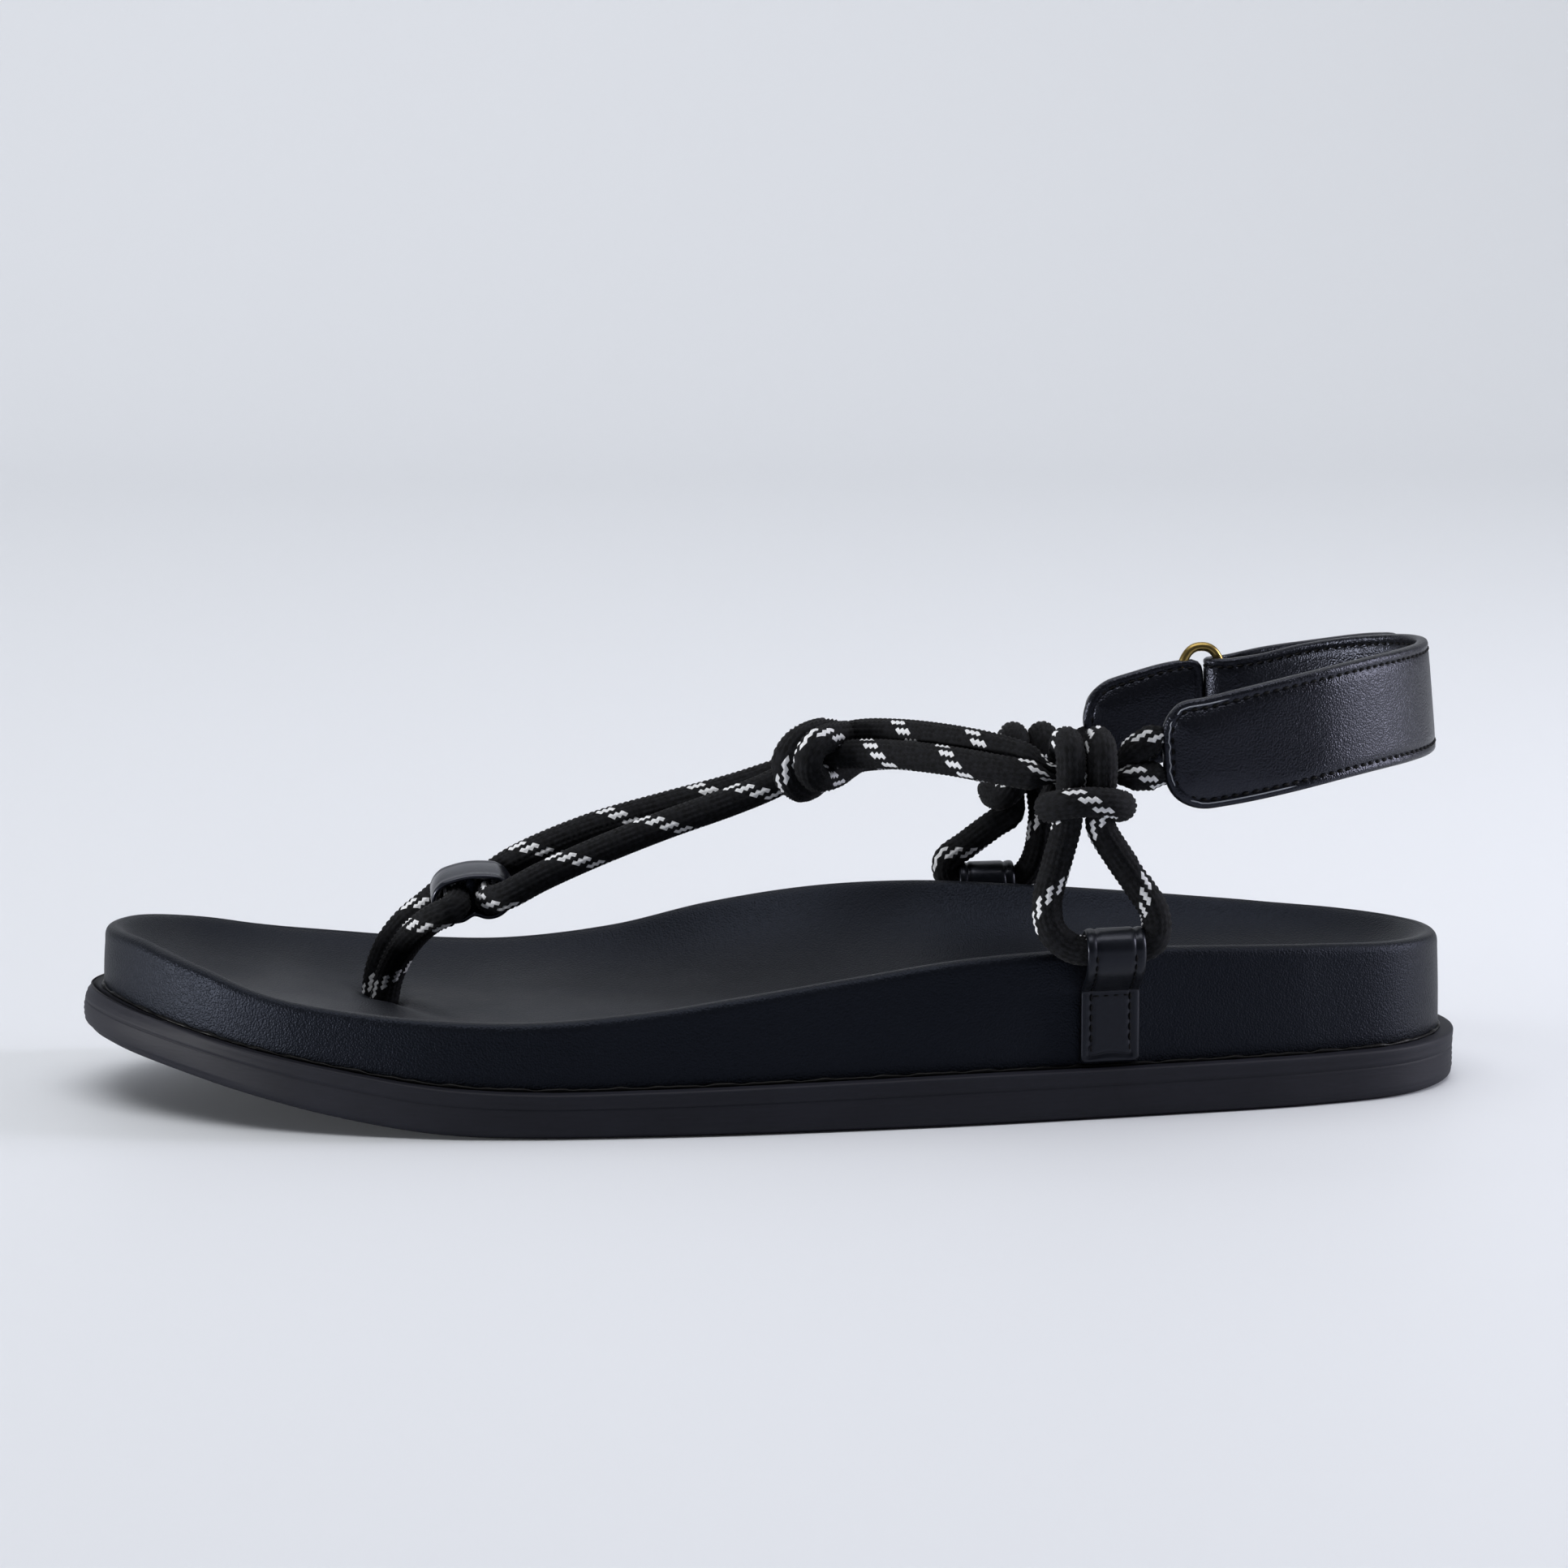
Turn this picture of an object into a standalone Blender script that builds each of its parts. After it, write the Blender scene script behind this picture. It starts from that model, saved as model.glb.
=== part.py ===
"""Rope sandal, left foot: a wrapped footbed on a rubber outsole with a rope upper.

Lengths in the tables are millimetres. The toe points to -X, the heel to +X,
the outer side of the foot to -Y, the inner side to +Y, and up is +Z.
Every piece is one closed solid of its own, in metres.
"""
import math

import bmesh
import bpy
from mathutils import Vector

MM = 0.001

# Sizes
CORD_R = 2.75          # braided cord, 5.5 mm thick
GAP = 0.3              # play between pieces that touch
LEDGE = 3.0            # how far the outsole sticks out past the footbed
LEATHER = 1.1          # thin leather of tabs and keeper
STRAP_T = 2.2          # one layer of the heel strap
STRAP_H = 20.0         # heel strap width
RING_WIRE = 0.9        # wire radius of the strap ring
CORD_SIDES = 8
CORD_STEP = 3.5

# Middle of the tables' box: it becomes the origin, on the ground under the sole.
ORIGIN = (0.56, -0.926, 0.0)

# One row for each cross section of the sole. x: along the foot. outer and
# inner: half outline of the outsole. bottom: walking face. ledge: top of the
# outsole's edge. rim_out and rim_in: lip of the footbed. bed: lowest height
# of the footbed across that section.
SOLE = [
    # x     outer  inner  bottom ledge rim_out rim_in bed
    (-130.4, 10.0, 10.0, 11.4, 20.3, 31.2, 31.2, 25.5),
    (-124.6, -9.0, 28.0, 10.9, 19.5, 31.0, 30.5, 24.0),
    (-110.0, -25.8, 41.0, 8.4, 16.7, 27.9, 27.9, 21.4),
    (-98.0, -34.4, 45.3, 6.0, 14.4, 24.6, 25.7, 19.4),
    (-84.0, -40.6, 47.0, 3.2, 12.0, 22.4, 24.0, 17.7),
    (-66.0, -46.0, 46.8, 0.7, 9.4, 21.0, 22.4, 16.2),
    (-48.0, -48.5, 45.0, 0.0, 8.4, 20.7, 22.2, 15.6),
    (-28.0, -49.0, 40.0, 0.0, 8.5, 22.2, 25.2, 15.8),
    (-10.0, -48.6, 35.2, 0.0, 8.8, 24.7, 30.1, 16.8),
    (10.0, -47.0, 33.2, 0.0, 9.1, 27.5, 33.3, 18.2),
    (30.0, -45.0, 33.0, 0.0, 9.4, 30.1, 34.1, 19.6),
    (48.0, -42.3, 34.2, 0.0, 9.4, 31.0, 33.0, 20.6),
    (66.0, -39.3, 36.0, 0.0, 9.4, 31.0, 31.4, 21.2),
    (98.0, -33.0, 34.0, 0.0, 9.5, 29.8, 28.8, 21.4),
    (117.4, -25.2, 27.2, 0.0, 9.5, 28.9, 27.9, 22.0),
    (127.9, -13.0, 15.0, 0.0, 9.5, 28.4, 27.8, 23.5),
    (131.2, 1.0, 1.0, 0.0, 9.5, 28.0, 28.0, 24.5),
]
X, OUTER, INNER, BOTTOM, LEDGE_Z, RIM_OUT, RIM_IN, BED = range(8)

# Rope paths, one row for each bend: x, y, z of the cord's centre.
TOE_POST = [
    (-75.3, 16.6, 12.2), (-74.9, 16.6, 16.0), (-74.2, 16.5, 20.5),
    (-72.1, 16.3, 25.6), (-68.7, 16.4, 29.8), (-64.6, 16.0, 33.2),
    (-61.5, 15.0, 36.0), (-60.1, 12.0, 37.2), (-60.0, 7.1, 36.2),
    (-60.0, 2.2, 35.0), (-61.6, -1.0, 34.3), (-64.4, 0.2, 32.8),
    (-67.6, 4.0, 29.6), (-70.4, 8.0, 25.2), (-72.4, 10.4, 20.4),
    (-73.4, 11.0, 15.9), (-73.8, 11.0, 12.2),
]
INSTEP_BIGHT = [
    (6.0, -1.0, 61.2), (0.0, -2.6, 58.0), (-7.8, -2.5, 54.8),
    (-20.9, -1.3, 50.1), (-34.0, -1.0, 45.0), (-44.4, -1.4, 40.5),
    (-50.2, -1.6, 37.5), (-53.4, 1.8, 35.9), (-53.7, 7.1, 37.0),
    (-53.5, 12.3, 38.2), (-50.6, 15.1, 39.9), (-45.6, 13.6, 42.9),
    (-33.3, 11.0, 48.2), (-19.5, 8.4, 52.4), (-7.0, 6.0, 56.0),
    (6.0, 4.6, 60.4),
]
KNOT_WRAP_REAR = [
    (14.6, 7.0, 61.5), (13.7, 4.0, 64.8), (10.9, 0.0, 67.0),
    (7.3, -4.0, 67.4), (3.6, -7.6, 66.2), (1.5, -9.4, 63.4),
    (1.8, -8.6, 60.2), (4.0, -5.0, 57.6), (6.8, 1.0, 56.9),
    (8.6, 6.0, 57.8), (9.0, 9.0, 60.0),
]
KNOT_WRAP_FRONT = [
    (13.8, -2.2, 66.8), (12.0, -6.0, 67.2), (9.0, -9.4, 67.2),
    (6.4, -12.0, 66.2), (5.2, -12.8, 63.6), (6.0, -11.0, 60.8),
    (8.4, -7.4, 59.6), (11.0, -4.6, 59.9), (13.7, -1.0, 61.0),
    (16.4, 4.6, 61.4), (20.4, 9.6, 61.2), (28.0, 17.6, 60.2),
    (37.0, 26.0, 57.9), (43.6, 31.0, 55.8), (48.6, 32.4, 54.3),
    (58.2, 32.6, 54.2), (62.4, 33.2, 55.3), (67.5, 33.6, 57.6),
    (72.0, 33.6, 58.8),
]
LATERAL_UPPER = [
    (9.0, 4.0, 63.4), (14.9, -3.0, 67.0), (22.5, -11.0, 68.2),
    (33.9, -24.0, 68.1), (41.6, -31.4, 66.8), (46.4, -35.8, 64.9),
    (50.4, -36.8, 64.2), (56.6, -36.8, 64.3), (60.4, -36.7, 66.2),
    (65.5, -37.2, 69.8), (69.0, -37.4, 71.0), (74.0, -37.2, 71.8),
]
LATERAL_LOWER = [
    (6.0, -2.0, 63.0), (11.7, -7.6, 64.0), (18.9, -15.2, 65.0),
    (27.9, -25.0, 65.2), (38.0, -34.6, 64.4), (45.0, -37.6, 63.4),
    (50.4, -36.9, 62.4), (56.6, -36.9, 62.4), (61.0, -37.8, 63.2),
    (66.0, -38.0, 63.3), (70.0, -37.8, 62.6), (76.0, -37.4, 61.8),
]
MEDIAL_UPPER = [
    (8.0, 1.0, 61.5), (15.0, 8.6, 64.0), (22.0, 15.0, 64.2),
    (31.0, 23.2, 62.4), (40.0, 29.6, 59.6), (45.6, 31.8, 57.2),
    (50.4, 32.3, 56.0), (58.0, 32.5, 56.1), (62.4, 33.4, 58.8),
    (67.5, 33.8, 63.6), (72.0, 33.7, 66.2),
]
# Radius of the two ropes where a side knot squeezes them: x from, x to.
SQUEEZE = {"lateral": (46.8, 59.0), "medial": (47.4, 59.8)}
SQUEEZED_R = 1.1
END_R = 2.1

# The loop of each side is a ring hitch round the two ropes. HITCH_FRONT runs
# from the back of the knot over its front down to a leg, HITCH_BAR from the
# back under the ropes to the bar across the legs. Local columns: along the
# foot, outwards from the knot's middle, up. Both are mirrored left and right.
HITCH_FRONT = [
    (2.9, -4.5, 2.8), (2.9, -3.6, 5.6), (2.9, -1.2, 7.0), (2.9, 1.6, 7.0),
    (2.9, 4.6, 5.6), (2.9, 5.4, 2.2), (2.9, 4.4, -2.0),
    (3.0, 3.0, -5.4), (3.2, 2.2, -8.4),
]
HITCH_BAR = [
    (2.9, -4.2, 4.0), (2.9, -4.5, 1.0), (3.5, -4.3, -1.8), (5.2, -2.2, -4.3),
    (6.3, 1.6, -4.8), (6.4, 5.6, -4.0), (4.4, 8.2, -3.2), (0.0, 9.0, -2.8),
]
KNOTS = {"lateral": (52.9, -36.8, 62.6), "medial": (53.6, 32.4, 54.5)}
# Legs from the knot down into the tab. Columns: x, out from the knot, z.
LEGS = {
    "lateral": {
        "fore": [(47.9, 1.8, 47.1), (46.2, 2.8, 40.6), (46.9, 4.2, 35.4), (50.4, 5.2, 32.4)],
        "rear": [(59.6, 1.8, 48.4), (63.0, 2.6, 43.4), (66.0, 3.8, 38.2), (65.6, 4.8, 33.6)],
    },
    "medial": {
        "fore": [(46.9, 1.4, 43.9), (42.0, 1.8, 40.2), (37.8, 2.6, 36.6), (38.8, 3.2, 33.0)],
        "rear": [(56.4, 1.4, 42.6), (56.0, 1.8, 39.0), (54.9, 2.6, 35.6), (52.6, 3.2, 32.8)],
    },
}
# x of each loop tab's middle, its fold height and its sewn height
TABS = {"lateral": (58.2, 36.0, 24.8), "medial": (45.6, 36.4, 24.8)}
TAB_W = 11.2

# Heel strap, from the outer front round the heel, through the ring and
# back outside. x, y, z: middle of the strap. half: half its width. t: its
# thickness. lean: how far the top edge leans inwards.
HEEL_STRAP = [
    # x      y      z     half  t    lean
    (69.6, -37.8, 66.8, 8.6, 6.0, 0.0),
    (71.2, -37.8, 66.8, 9.8, 6.6, 0.0),
    (77.0, -37.4, 67.5, 10.3, 6.6, 0.2),
    (83.0, -36.9, 68.6, 10.5, 4.4, 0.4),
    (91.0, -35.4, 70.1, 10.6, 2.4, 0.8),
    (100.0, -32.0, 71.6, 10.6, 2.4, 1.0),
    (108.6, -26.4, 72.6, 10.6, 2.4, 1.2),
    (116.8, -18.6, 73.1, 10.6, 2.4, 1.4),
    (122.9, -9.4, 73.3, 10.6, 2.4, 1.4),
    (125.3, -0.6, 73.5, 10.6, 2.4, 1.4),
    (123.8, 8.6, 73.1, 10.5, 2.2, 1.4),
    (117.6, 18.0, 72.1, 10.2, 2.2, 1.2),
    (109.4, 25.4, 70.3, 10.0, 2.2, 1.0),
    (101.0, 30.0, 68.0, 9.8, 2.2, 0.6),
    (95.4, 31.8, 67.3, 9.5, 2.2, 0.2),
    (92.4, 31.9, 67.2, 9.3, 2.2, 0.0),
    (90.4, 32.8, 67.2, 9.3, 2.2, 0.0),
    (89.7, 34.4, 67.2, 9.3, 2.2, 0.0),
    (90.4, 36.0, 67.2, 9.3, 2.2, 0.0),
    (92.4, 36.9, 67.2, 9.3, 2.2, 0.0),
    (96.0, 36.4, 67.5, 9.6, 2.2, 0.3),
    (102.4, 33.4, 68.8, 10.0, 2.2, 0.6),
    (111.2, 27.8, 70.6, 10.1, 2.2, 1.0),
    (119.6, 20.2, 72.4, 10.2, 2.2, 1.2),
    (125.4, 11.8, 73.6, 10.0, 2.2, 1.4),
]
RING_TAB = [
    # x     y     z     half  t    lean
    (66.2, 33.7, 61.4, 4.4, 5.6, 0.0),
    (67.4, 33.7, 61.8, 7.4, 6.6, 0.0),
    (70.0, 33.7, 62.6, 9.0, 6.6, 0.0),
    (76.0, 33.8, 64.4, 9.6, 5.4, 0.0),
    (82.0, 34.2, 66.0, 9.6, 4.6, 0.0),
    (86.0, 34.4, 66.8, 9.4, 4.6, 0.0),
    (88.1, 34.4, 67.0, 9.2, 3.6, 0.0),
]
RING = {"middle": (88.6, 34.4, 67.2), "half_long": 10.9, "half_wide": 3.6}


# Helpers
def spline(rows, closed=False, step=1.0):
    """Smooth path through the rows (centripetal), even steps of arc length."""
    pts = [tuple(float(v) for v in r) for r in rows]
    n = len(pts)
    fine = []

    def lin(a, b, t):
        return tuple(p + (q - p) * t for p, q in zip(a, b))

    spans = n if closed else n - 1
    for i in range(spans):
        if closed:
            p0, p1, p2, p3 = (pts[(i + k - 1) % n] for k in range(4))
        else:
            p1, p2 = pts[i], pts[i + 1]
            p0 = pts[i - 1] if i else lin(p1, p2, -1.0)
            p3 = pts[i + 2] if i + 2 < n else lin(p2, p1, -1.0)
        k = [0.0]
        for a, b in ((p0, p1), (p1, p2), (p2, p3)):
            k.append(k[-1] + max(math.dist(a[:3], b[:3]), 1e-6) ** 0.5)
        for j in range(12):
            t = k[1] + (k[2] - k[1]) * j / 12
            a1 = lin(p0, p1, (t - k[0]) / (k[1] - k[0]))
            a2 = lin(p1, p2, (t - k[1]) / (k[2] - k[1]))
            a3 = lin(p2, p3, (t - k[2]) / (k[3] - k[2]))
            b1 = lin(a1, a2, (t - k[0]) / (k[2] - k[0]))
            b2 = lin(a2, a3, (t - k[1]) / (k[3] - k[1]))
            fine.append(lin(b1, b2, (t - k[1]) / (k[2] - k[1])))
    fine.append(fine[0] if closed else pts[-1])
    run = [0.0]
    for a, b in zip(fine, fine[1:]):
        run.append(run[-1] + math.dist(a[:3], b[:3]))
    count = max(2, round(run[-1] / step))
    out, i = [], 0
    for m in range(count + (0 if closed else 1)):
        s = run[-1] * m / count
        while i < len(run) - 2 and run[i + 1] < s:
            i += 1
        t = (s - run[i]) / max(run[i + 1] - run[i], 1e-9)
        out.append(lin(fine[i], fine[i + 1], min(max(t, 0.0), 1.0)))
    return out


def table(x, column):
    """Height at x from a column of SOLE, by a smooth curve through its rows."""
    rows = SOLE
    x = min(max(x, rows[0][X]), rows[-1][X])
    i = 0
    while i < len(rows) - 2 and rows[i + 1][X] < x:
        i += 1

    def slope(k):
        a, b = max(k - 1, 0), min(k + 1, len(rows) - 1)
        return (rows[b][column] - rows[a][column]) / (rows[b][X] - rows[a][X])

    h = rows[i + 1][X] - rows[i][X]
    t = (x - rows[i][X]) / h
    return ((2 * t ** 3 - 3 * t ** 2 + 1) * rows[i][column]
            + (t ** 3 - 2 * t ** 2 + t) * h * slope(i)
            + (3 * t ** 2 - 2 * t ** 3) * rows[i + 1][column]
            + (t ** 3 - t ** 2) * h * slope(i + 1))


def tread(x):
    """Height of the walking face at x."""
    return max(table(x, BOTTOM), 0.0)


def colour(code):
    """Hex sRGB to linear colour."""
    out = []
    for k in (1, 3, 5):
        c = int(code[k:k + 2], 16) / 255
        out.append(c / 12.92 if c <= 0.04045 else ((c + 0.055) / 1.055) ** 2.4)
    return (*out, 1.0)


def material(name, code, rough, metal=0.0):
    mat = bpy.data.materials.new(name)
    mat.use_nodes = True
    shader = mat.node_tree.nodes["Principled BSDF"]
    shader.inputs["Base Color"].default_value = colour(code)
    shader.inputs["Roughness"].default_value = rough
    shader.inputs["Metallic"].default_value = metal
    mat.diffuse_color = colour(code)
    return mat


def solid(name, verts, faces, mat=None, where=None):
    """Object from points in millimetres, doubles merged, faces turned out."""
    mesh = bpy.data.meshes.new(name)
    mesh.from_pydata([(Vector(v) - Vector(ORIGIN)) * MM for v in verts], [], faces)
    bm = bmesh.new()
    bm.from_mesh(mesh)
    bmesh.ops.remove_doubles(bm, verts=bm.verts, dist=2e-6)
    bmesh.ops.dissolve_degenerate(bm, edges=bm.edges, dist=1e-7)
    bmesh.ops.recalc_face_normals(bm, faces=bm.faces)
    bm.to_mesh(mesh)
    bm.free()
    obj = bpy.data.objects.new(name, mesh)
    (where or PIECES).objects.link(obj)
    if mat:
        mesh.materials.append(mat)
    return obj


def rings_solid(rings, cap_ends=True, closed_path=False):
    """Faces that join rings of equal size in order."""
    n = len(rings[0])
    verts = [v for ring in rings for v in ring]
    faces = []
    m = len(rings)
    for i in range(m if closed_path else m - 1):
        a, b = i * n, ((i + 1) % m) * n
        for j in range(n):
            k = (j + 1) % n
            faces.append((a + j, a + k, b + k, b + j))
    if cap_ends and not closed_path:
        faces.append(tuple(reversed(range(n))))
        faces.append(tuple(range((m - 1) * n, m * n)))
    return verts, faces


def frames(path, closed=False):
    """Tangent and a side vector that turns as little as it can along a path."""
    n = len(path)
    pts = [Vector(p[:3]) for p in path]
    tans = []
    for i in range(n):
        a = pts[i - 1] if (i or closed) else pts[0]
        b = pts[(i + 1) % n] if (i < n - 1 or closed) else pts[-1]
        tans.append((b - a).normalized())
    side = tans[0].orthogonal().normalized()
    sides = [side]
    for i in range(1, n):
        side = (tans[i - 1].rotation_difference(tans[i]) @ side).normalized()
        side = (side - tans[i] * side.dot(tans[i])).normalized()
        sides.append(side)
    twist = 0.0
    if closed:
        end = tans[-1].rotation_difference(tans[0]) @ sides[-1]
        twist = math.atan2(sides[0].cross(end).dot(tans[0]), sides[0].dot(end))
    return pts, tans, sides, twist


def cord(name, rows, mat=None, radius=CORD_R, extra=0.0, closed=False,
         step=CORD_STEP, where=None, shrink=None, sides_n=CORD_SIDES):
    """Round rope along the rows. shrink(x, end) gives a smaller radius."""
    path = spline(rows, closed, step)
    pts, tans, sides, twist = frames(path, closed)
    grow = 1.0 / math.cos(math.pi / sides_n) ** 0.5
    rings = []
    for i, (p, t, s) in enumerate(zip(pts, tans, sides)):
        r = radius
        if shrink:
            r = shrink(p, (i == 0) or (i == len(pts) - 1))
        r = (r + extra) * grow
        turn = -twist * i / len(pts)
        up = t.cross(s)
        ring = []
        for j in range(sides_n):
            a = 2 * math.pi * j / sides_n + turn
            ring.append(p + (s * math.cos(a) + up * math.sin(a)) * r)
        rings.append(ring)
    verts, faces = rings_solid(rings, True, closed)
    return solid(name, verts, faces, mat, where)


def fill_voids(bm):
    """Keep the outer shell: a pocket sealed inside a knot is filled."""
    todo, shells = set(bm.faces), []
    while todo:
        shell, stack = set(), [todo.pop()]
        while stack:
            face = stack.pop()
            shell.add(face)
            for edge in face.edges:
                for other in edge.link_faces:
                    if other in todo:
                        todo.discard(other)
                        stack.append(other)
        shells.append(shell)
    shells.sort(key=len)
    for shell in shells[:-1]:
        bmesh.ops.delete(bm, geom=list(shell), context="FACES")


def boolean(base, tools, operation, solver="EXACT"):
    """Boolean of base with each tool, applied, tools removed."""
    for tool in tools:
        mod = base.modifiers.new("cut", "BOOLEAN")
        mod.operation = operation
        mod.solver = solver
        mod.object = tool
        dep = bpy.context.evaluated_depsgraph_get()
        dep.update()
        mesh = bpy.data.meshes.new_from_object(base.evaluated_get(dep))
        base.modifiers.remove(mod)
        old = base.data
        base.data = mesh
        bpy.data.meshes.remove(old)
    for tool in tools:
        bpy.data.objects.remove(tool, do_unlink=True)
    bm = bmesh.new()
    bm.from_mesh(base.data)
    bmesh.ops.remove_doubles(bm, verts=bm.verts, dist=2e-5)
    bmesh.ops.dissolve_degenerate(bm, edges=bm.edges, dist=1e-5)
    fill_voids(bm)
    bm.to_mesh(base.data)
    bm.free()
    return base


# Sole
def sole_outline():
    """Closed outline points with equal x on both sides, toe to heel."""
    outer = [(r[X], r[OUTER]) for r in SOLE[1:-1]]
    inner = [(r[X], r[INNER]) for r in SOLE[1:-1]]
    toe, heel = (SOLE[0][X], SOLE[0][OUTER]), (SOLE[-1][X], SOLE[-1][OUTER])
    loop = [toe] + outer + [heel] + inner[::-1]
    fine = spline([(x, y, 0.0) for x, y in loop], True, 0.5)
    k = max(range(len(fine)), key=lambda i: fine[i][0])
    side_a, side_b = fine[:k + 1], fine[k:] + fine[:1]

    def at(side, x):
        s = sorted((p[0], p[1]) for p in side)
        for (x0, y0), (x1, y1) in zip(s, s[1:]):
            if x0 <= x <= x1:
                return y0 + (y1 - y0) * (x - x0) / max(x1 - x0, 1e-9)
        return s[0][1] if x < s[0][0] else s[-1][1]

    return fine, side_a, side_b, at


def spine_and_edge():
    """Pairs (spine point, outline point, inner side share 0..1).

    Between the two end centres the spine runs midway between the sides and a
    pair sits at the same x. Round each end the pairs fan out from its centre.
    """
    fine, side_a, side_b, at = sole_outline()
    toe_x, heel_x = -92.0, 96.0
    mid = lambda x: 0.5 * (at(side_a, x) + at(side_b, x))
    xs = [toe_x + (heel_x - toe_x) * i / 15 for i in range(16)]

    def fan(centre, start, stop, count):
        rows = []
        for i in range(count):
            a = start + (stop - start) * (i + 0.5) / count
            d = (math.cos(a), math.sin(a))
            best = None
            for p, q in zip(fine, fine[1:] + fine[:1]):
                den = d[0] * (q[1] - p[1]) - d[1] * (q[0] - p[0])
                if abs(den) < 1e-12:
                    continue
                wx, wy = p[0] - centre[0], p[1] - centre[1]
                t = (wx * (q[1] - p[1]) - wy * (q[0] - p[0])) / den
                u = (wx * d[1] - wy * d[0]) / den
                if t > 0 and -1e-9 <= u <= 1 + 1e-9:
                    best = t if best is None else max(best, t)
            rows.append((centre[0] + d[0] * best, centre[1] + d[1] * best))
        return rows

    pairs = []
    for x in xs:
        pairs.append(((x, mid(x)), (x, at(side_a, x))))
    heel_c = (heel_x, mid(heel_x))
    for p in fan(heel_c, -math.pi / 2, math.pi / 2, 11):
        pairs.append((heel_c, p))
    for x in reversed(xs):
        pairs.append(((x, mid(x)), (x, at(side_b, x))))
    toe_c = (toe_x, mid(toe_x))
    for p in fan(toe_c, math.pi / 2, 3 * math.pi / 2, 13):
        pairs.append((toe_c, p))
    full = []
    for s, e in pairs:
        half = 0.5 * (at(side_b, e[0]) - at(side_a, e[0]))
        middle = 0.5 * (at(side_b, e[0]) + at(side_a, e[0]))
        share = 0.5 if half < 1e-6 else 0.5 + 0.5 * (e[1] - middle) / half
        full.append((s, e, min(max(share, 0.0), 1.0)))
    return full


def inset(pair, d):
    """Point d inside the outline, towards the spine, and its part f of the way."""
    s, e, _ = pair
    r = math.dist(s, e)
    f = 1 - d / r
    return (s[0] + (e[0] - s[0]) * f, s[1] + (e[1] - s[1]) * f), f


def ledge_width(pair):
    """Ledge of the outsole, a little wider round the toe."""
    t = min(max((-112.0 - pair[1][0]) / 14.0, 0.0), 1.0)
    return LEDGE + 1.1 * t * t * (3 - 2 * t)


def outsole(mat, pairs):
    """Rubber outsole: flat tread, rounded foot, one groove, ledge on top.

    Rows of (inset, share of the way from bottom to ledge, added height).
    """
    profile = [
        (2.4, 0.0, 0.0), (0.9, 0.0, 0.5), (0.35, 0.0, 1.4), (0.15, 0.62, 0.0),
        (0.55, 0.655, 0.0), (0.55, 0.70, 0.0), (0.15, 0.735, 0.0),
        (0.0, 1.0, -0.7), (0.5, 1.0, 0.0), (3.15, 1.0, 0.0), (7.0, 1.0, 0.0),
    ]
    rings = []
    centre = [(s[0], s[1], tread(s[0])) for s, e, _ in pairs]
    middle = []
    for pr in pairs:
        p, _ = inset(pr, 0.5 * math.dist(pr[0], pr[1]))
        middle.append((p[0], p[1], tread(p[0])))
    rings.append(centre)
    rings.append(middle)
    for d, share, add in profile:
        ring = []
        for pr in pairs:
            p, _ = inset(pr, d)
            low, high = tread(p[0]), table(p[0], LEDGE_Z)
            ring.append((p[0], p[1], low + (high - low) * share + add))
        rings.append(ring)
    top_mid, top_spine = [], []
    for pr in pairs:
        p, _ = inset(pr, 0.5 * math.dist(pr[0], pr[1]))
        top_mid.append((p[0], p[1], table(p[0], LEDGE_Z)))
        top_spine.append((pr[0][0], pr[0][1], table(pr[0][0], LEDGE_Z)))
    rings += [top_mid, top_spine]
    verts, faces = rings_solid(rings, cap_ends=False)
    return solid("outsole", verts, faces, mat)


def rim_height(pair):
    """Lip height: the outer and inner columns blended across the foot."""
    x, share = pair[1][0], pair[2]
    w = share * share * (3 - 2 * share)
    return table(x, RIM_OUT) * (1 - w) + table(x, RIM_IN) * w


def bed_height(pair, f, dish=0.0):
    """Footbed top: the bed's height plus the lip's rise times f to a power.

    The power is 3 along the inner arch, where the bed swells up towards the
    foot, and 5 elsewhere, where the bed is flatter and the lip steeper.
    """
    s, e, share = pair
    x = s[0] + (e[0] - s[0]) * f
    arch = math.exp(-((e[0] - 12.0) / 38.0) ** 2) * max(0.0, 2 * share - 1)
    power = 5.0 - 2.4 * arch
    bar = 1.0 * math.exp(-((x + 92.0) / 7.0) ** 2) * max(0.0, 1 - f ** 4)
    low = table(x, BED)
    return low + (rim_height(pair) - low) * f ** power + bar


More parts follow.
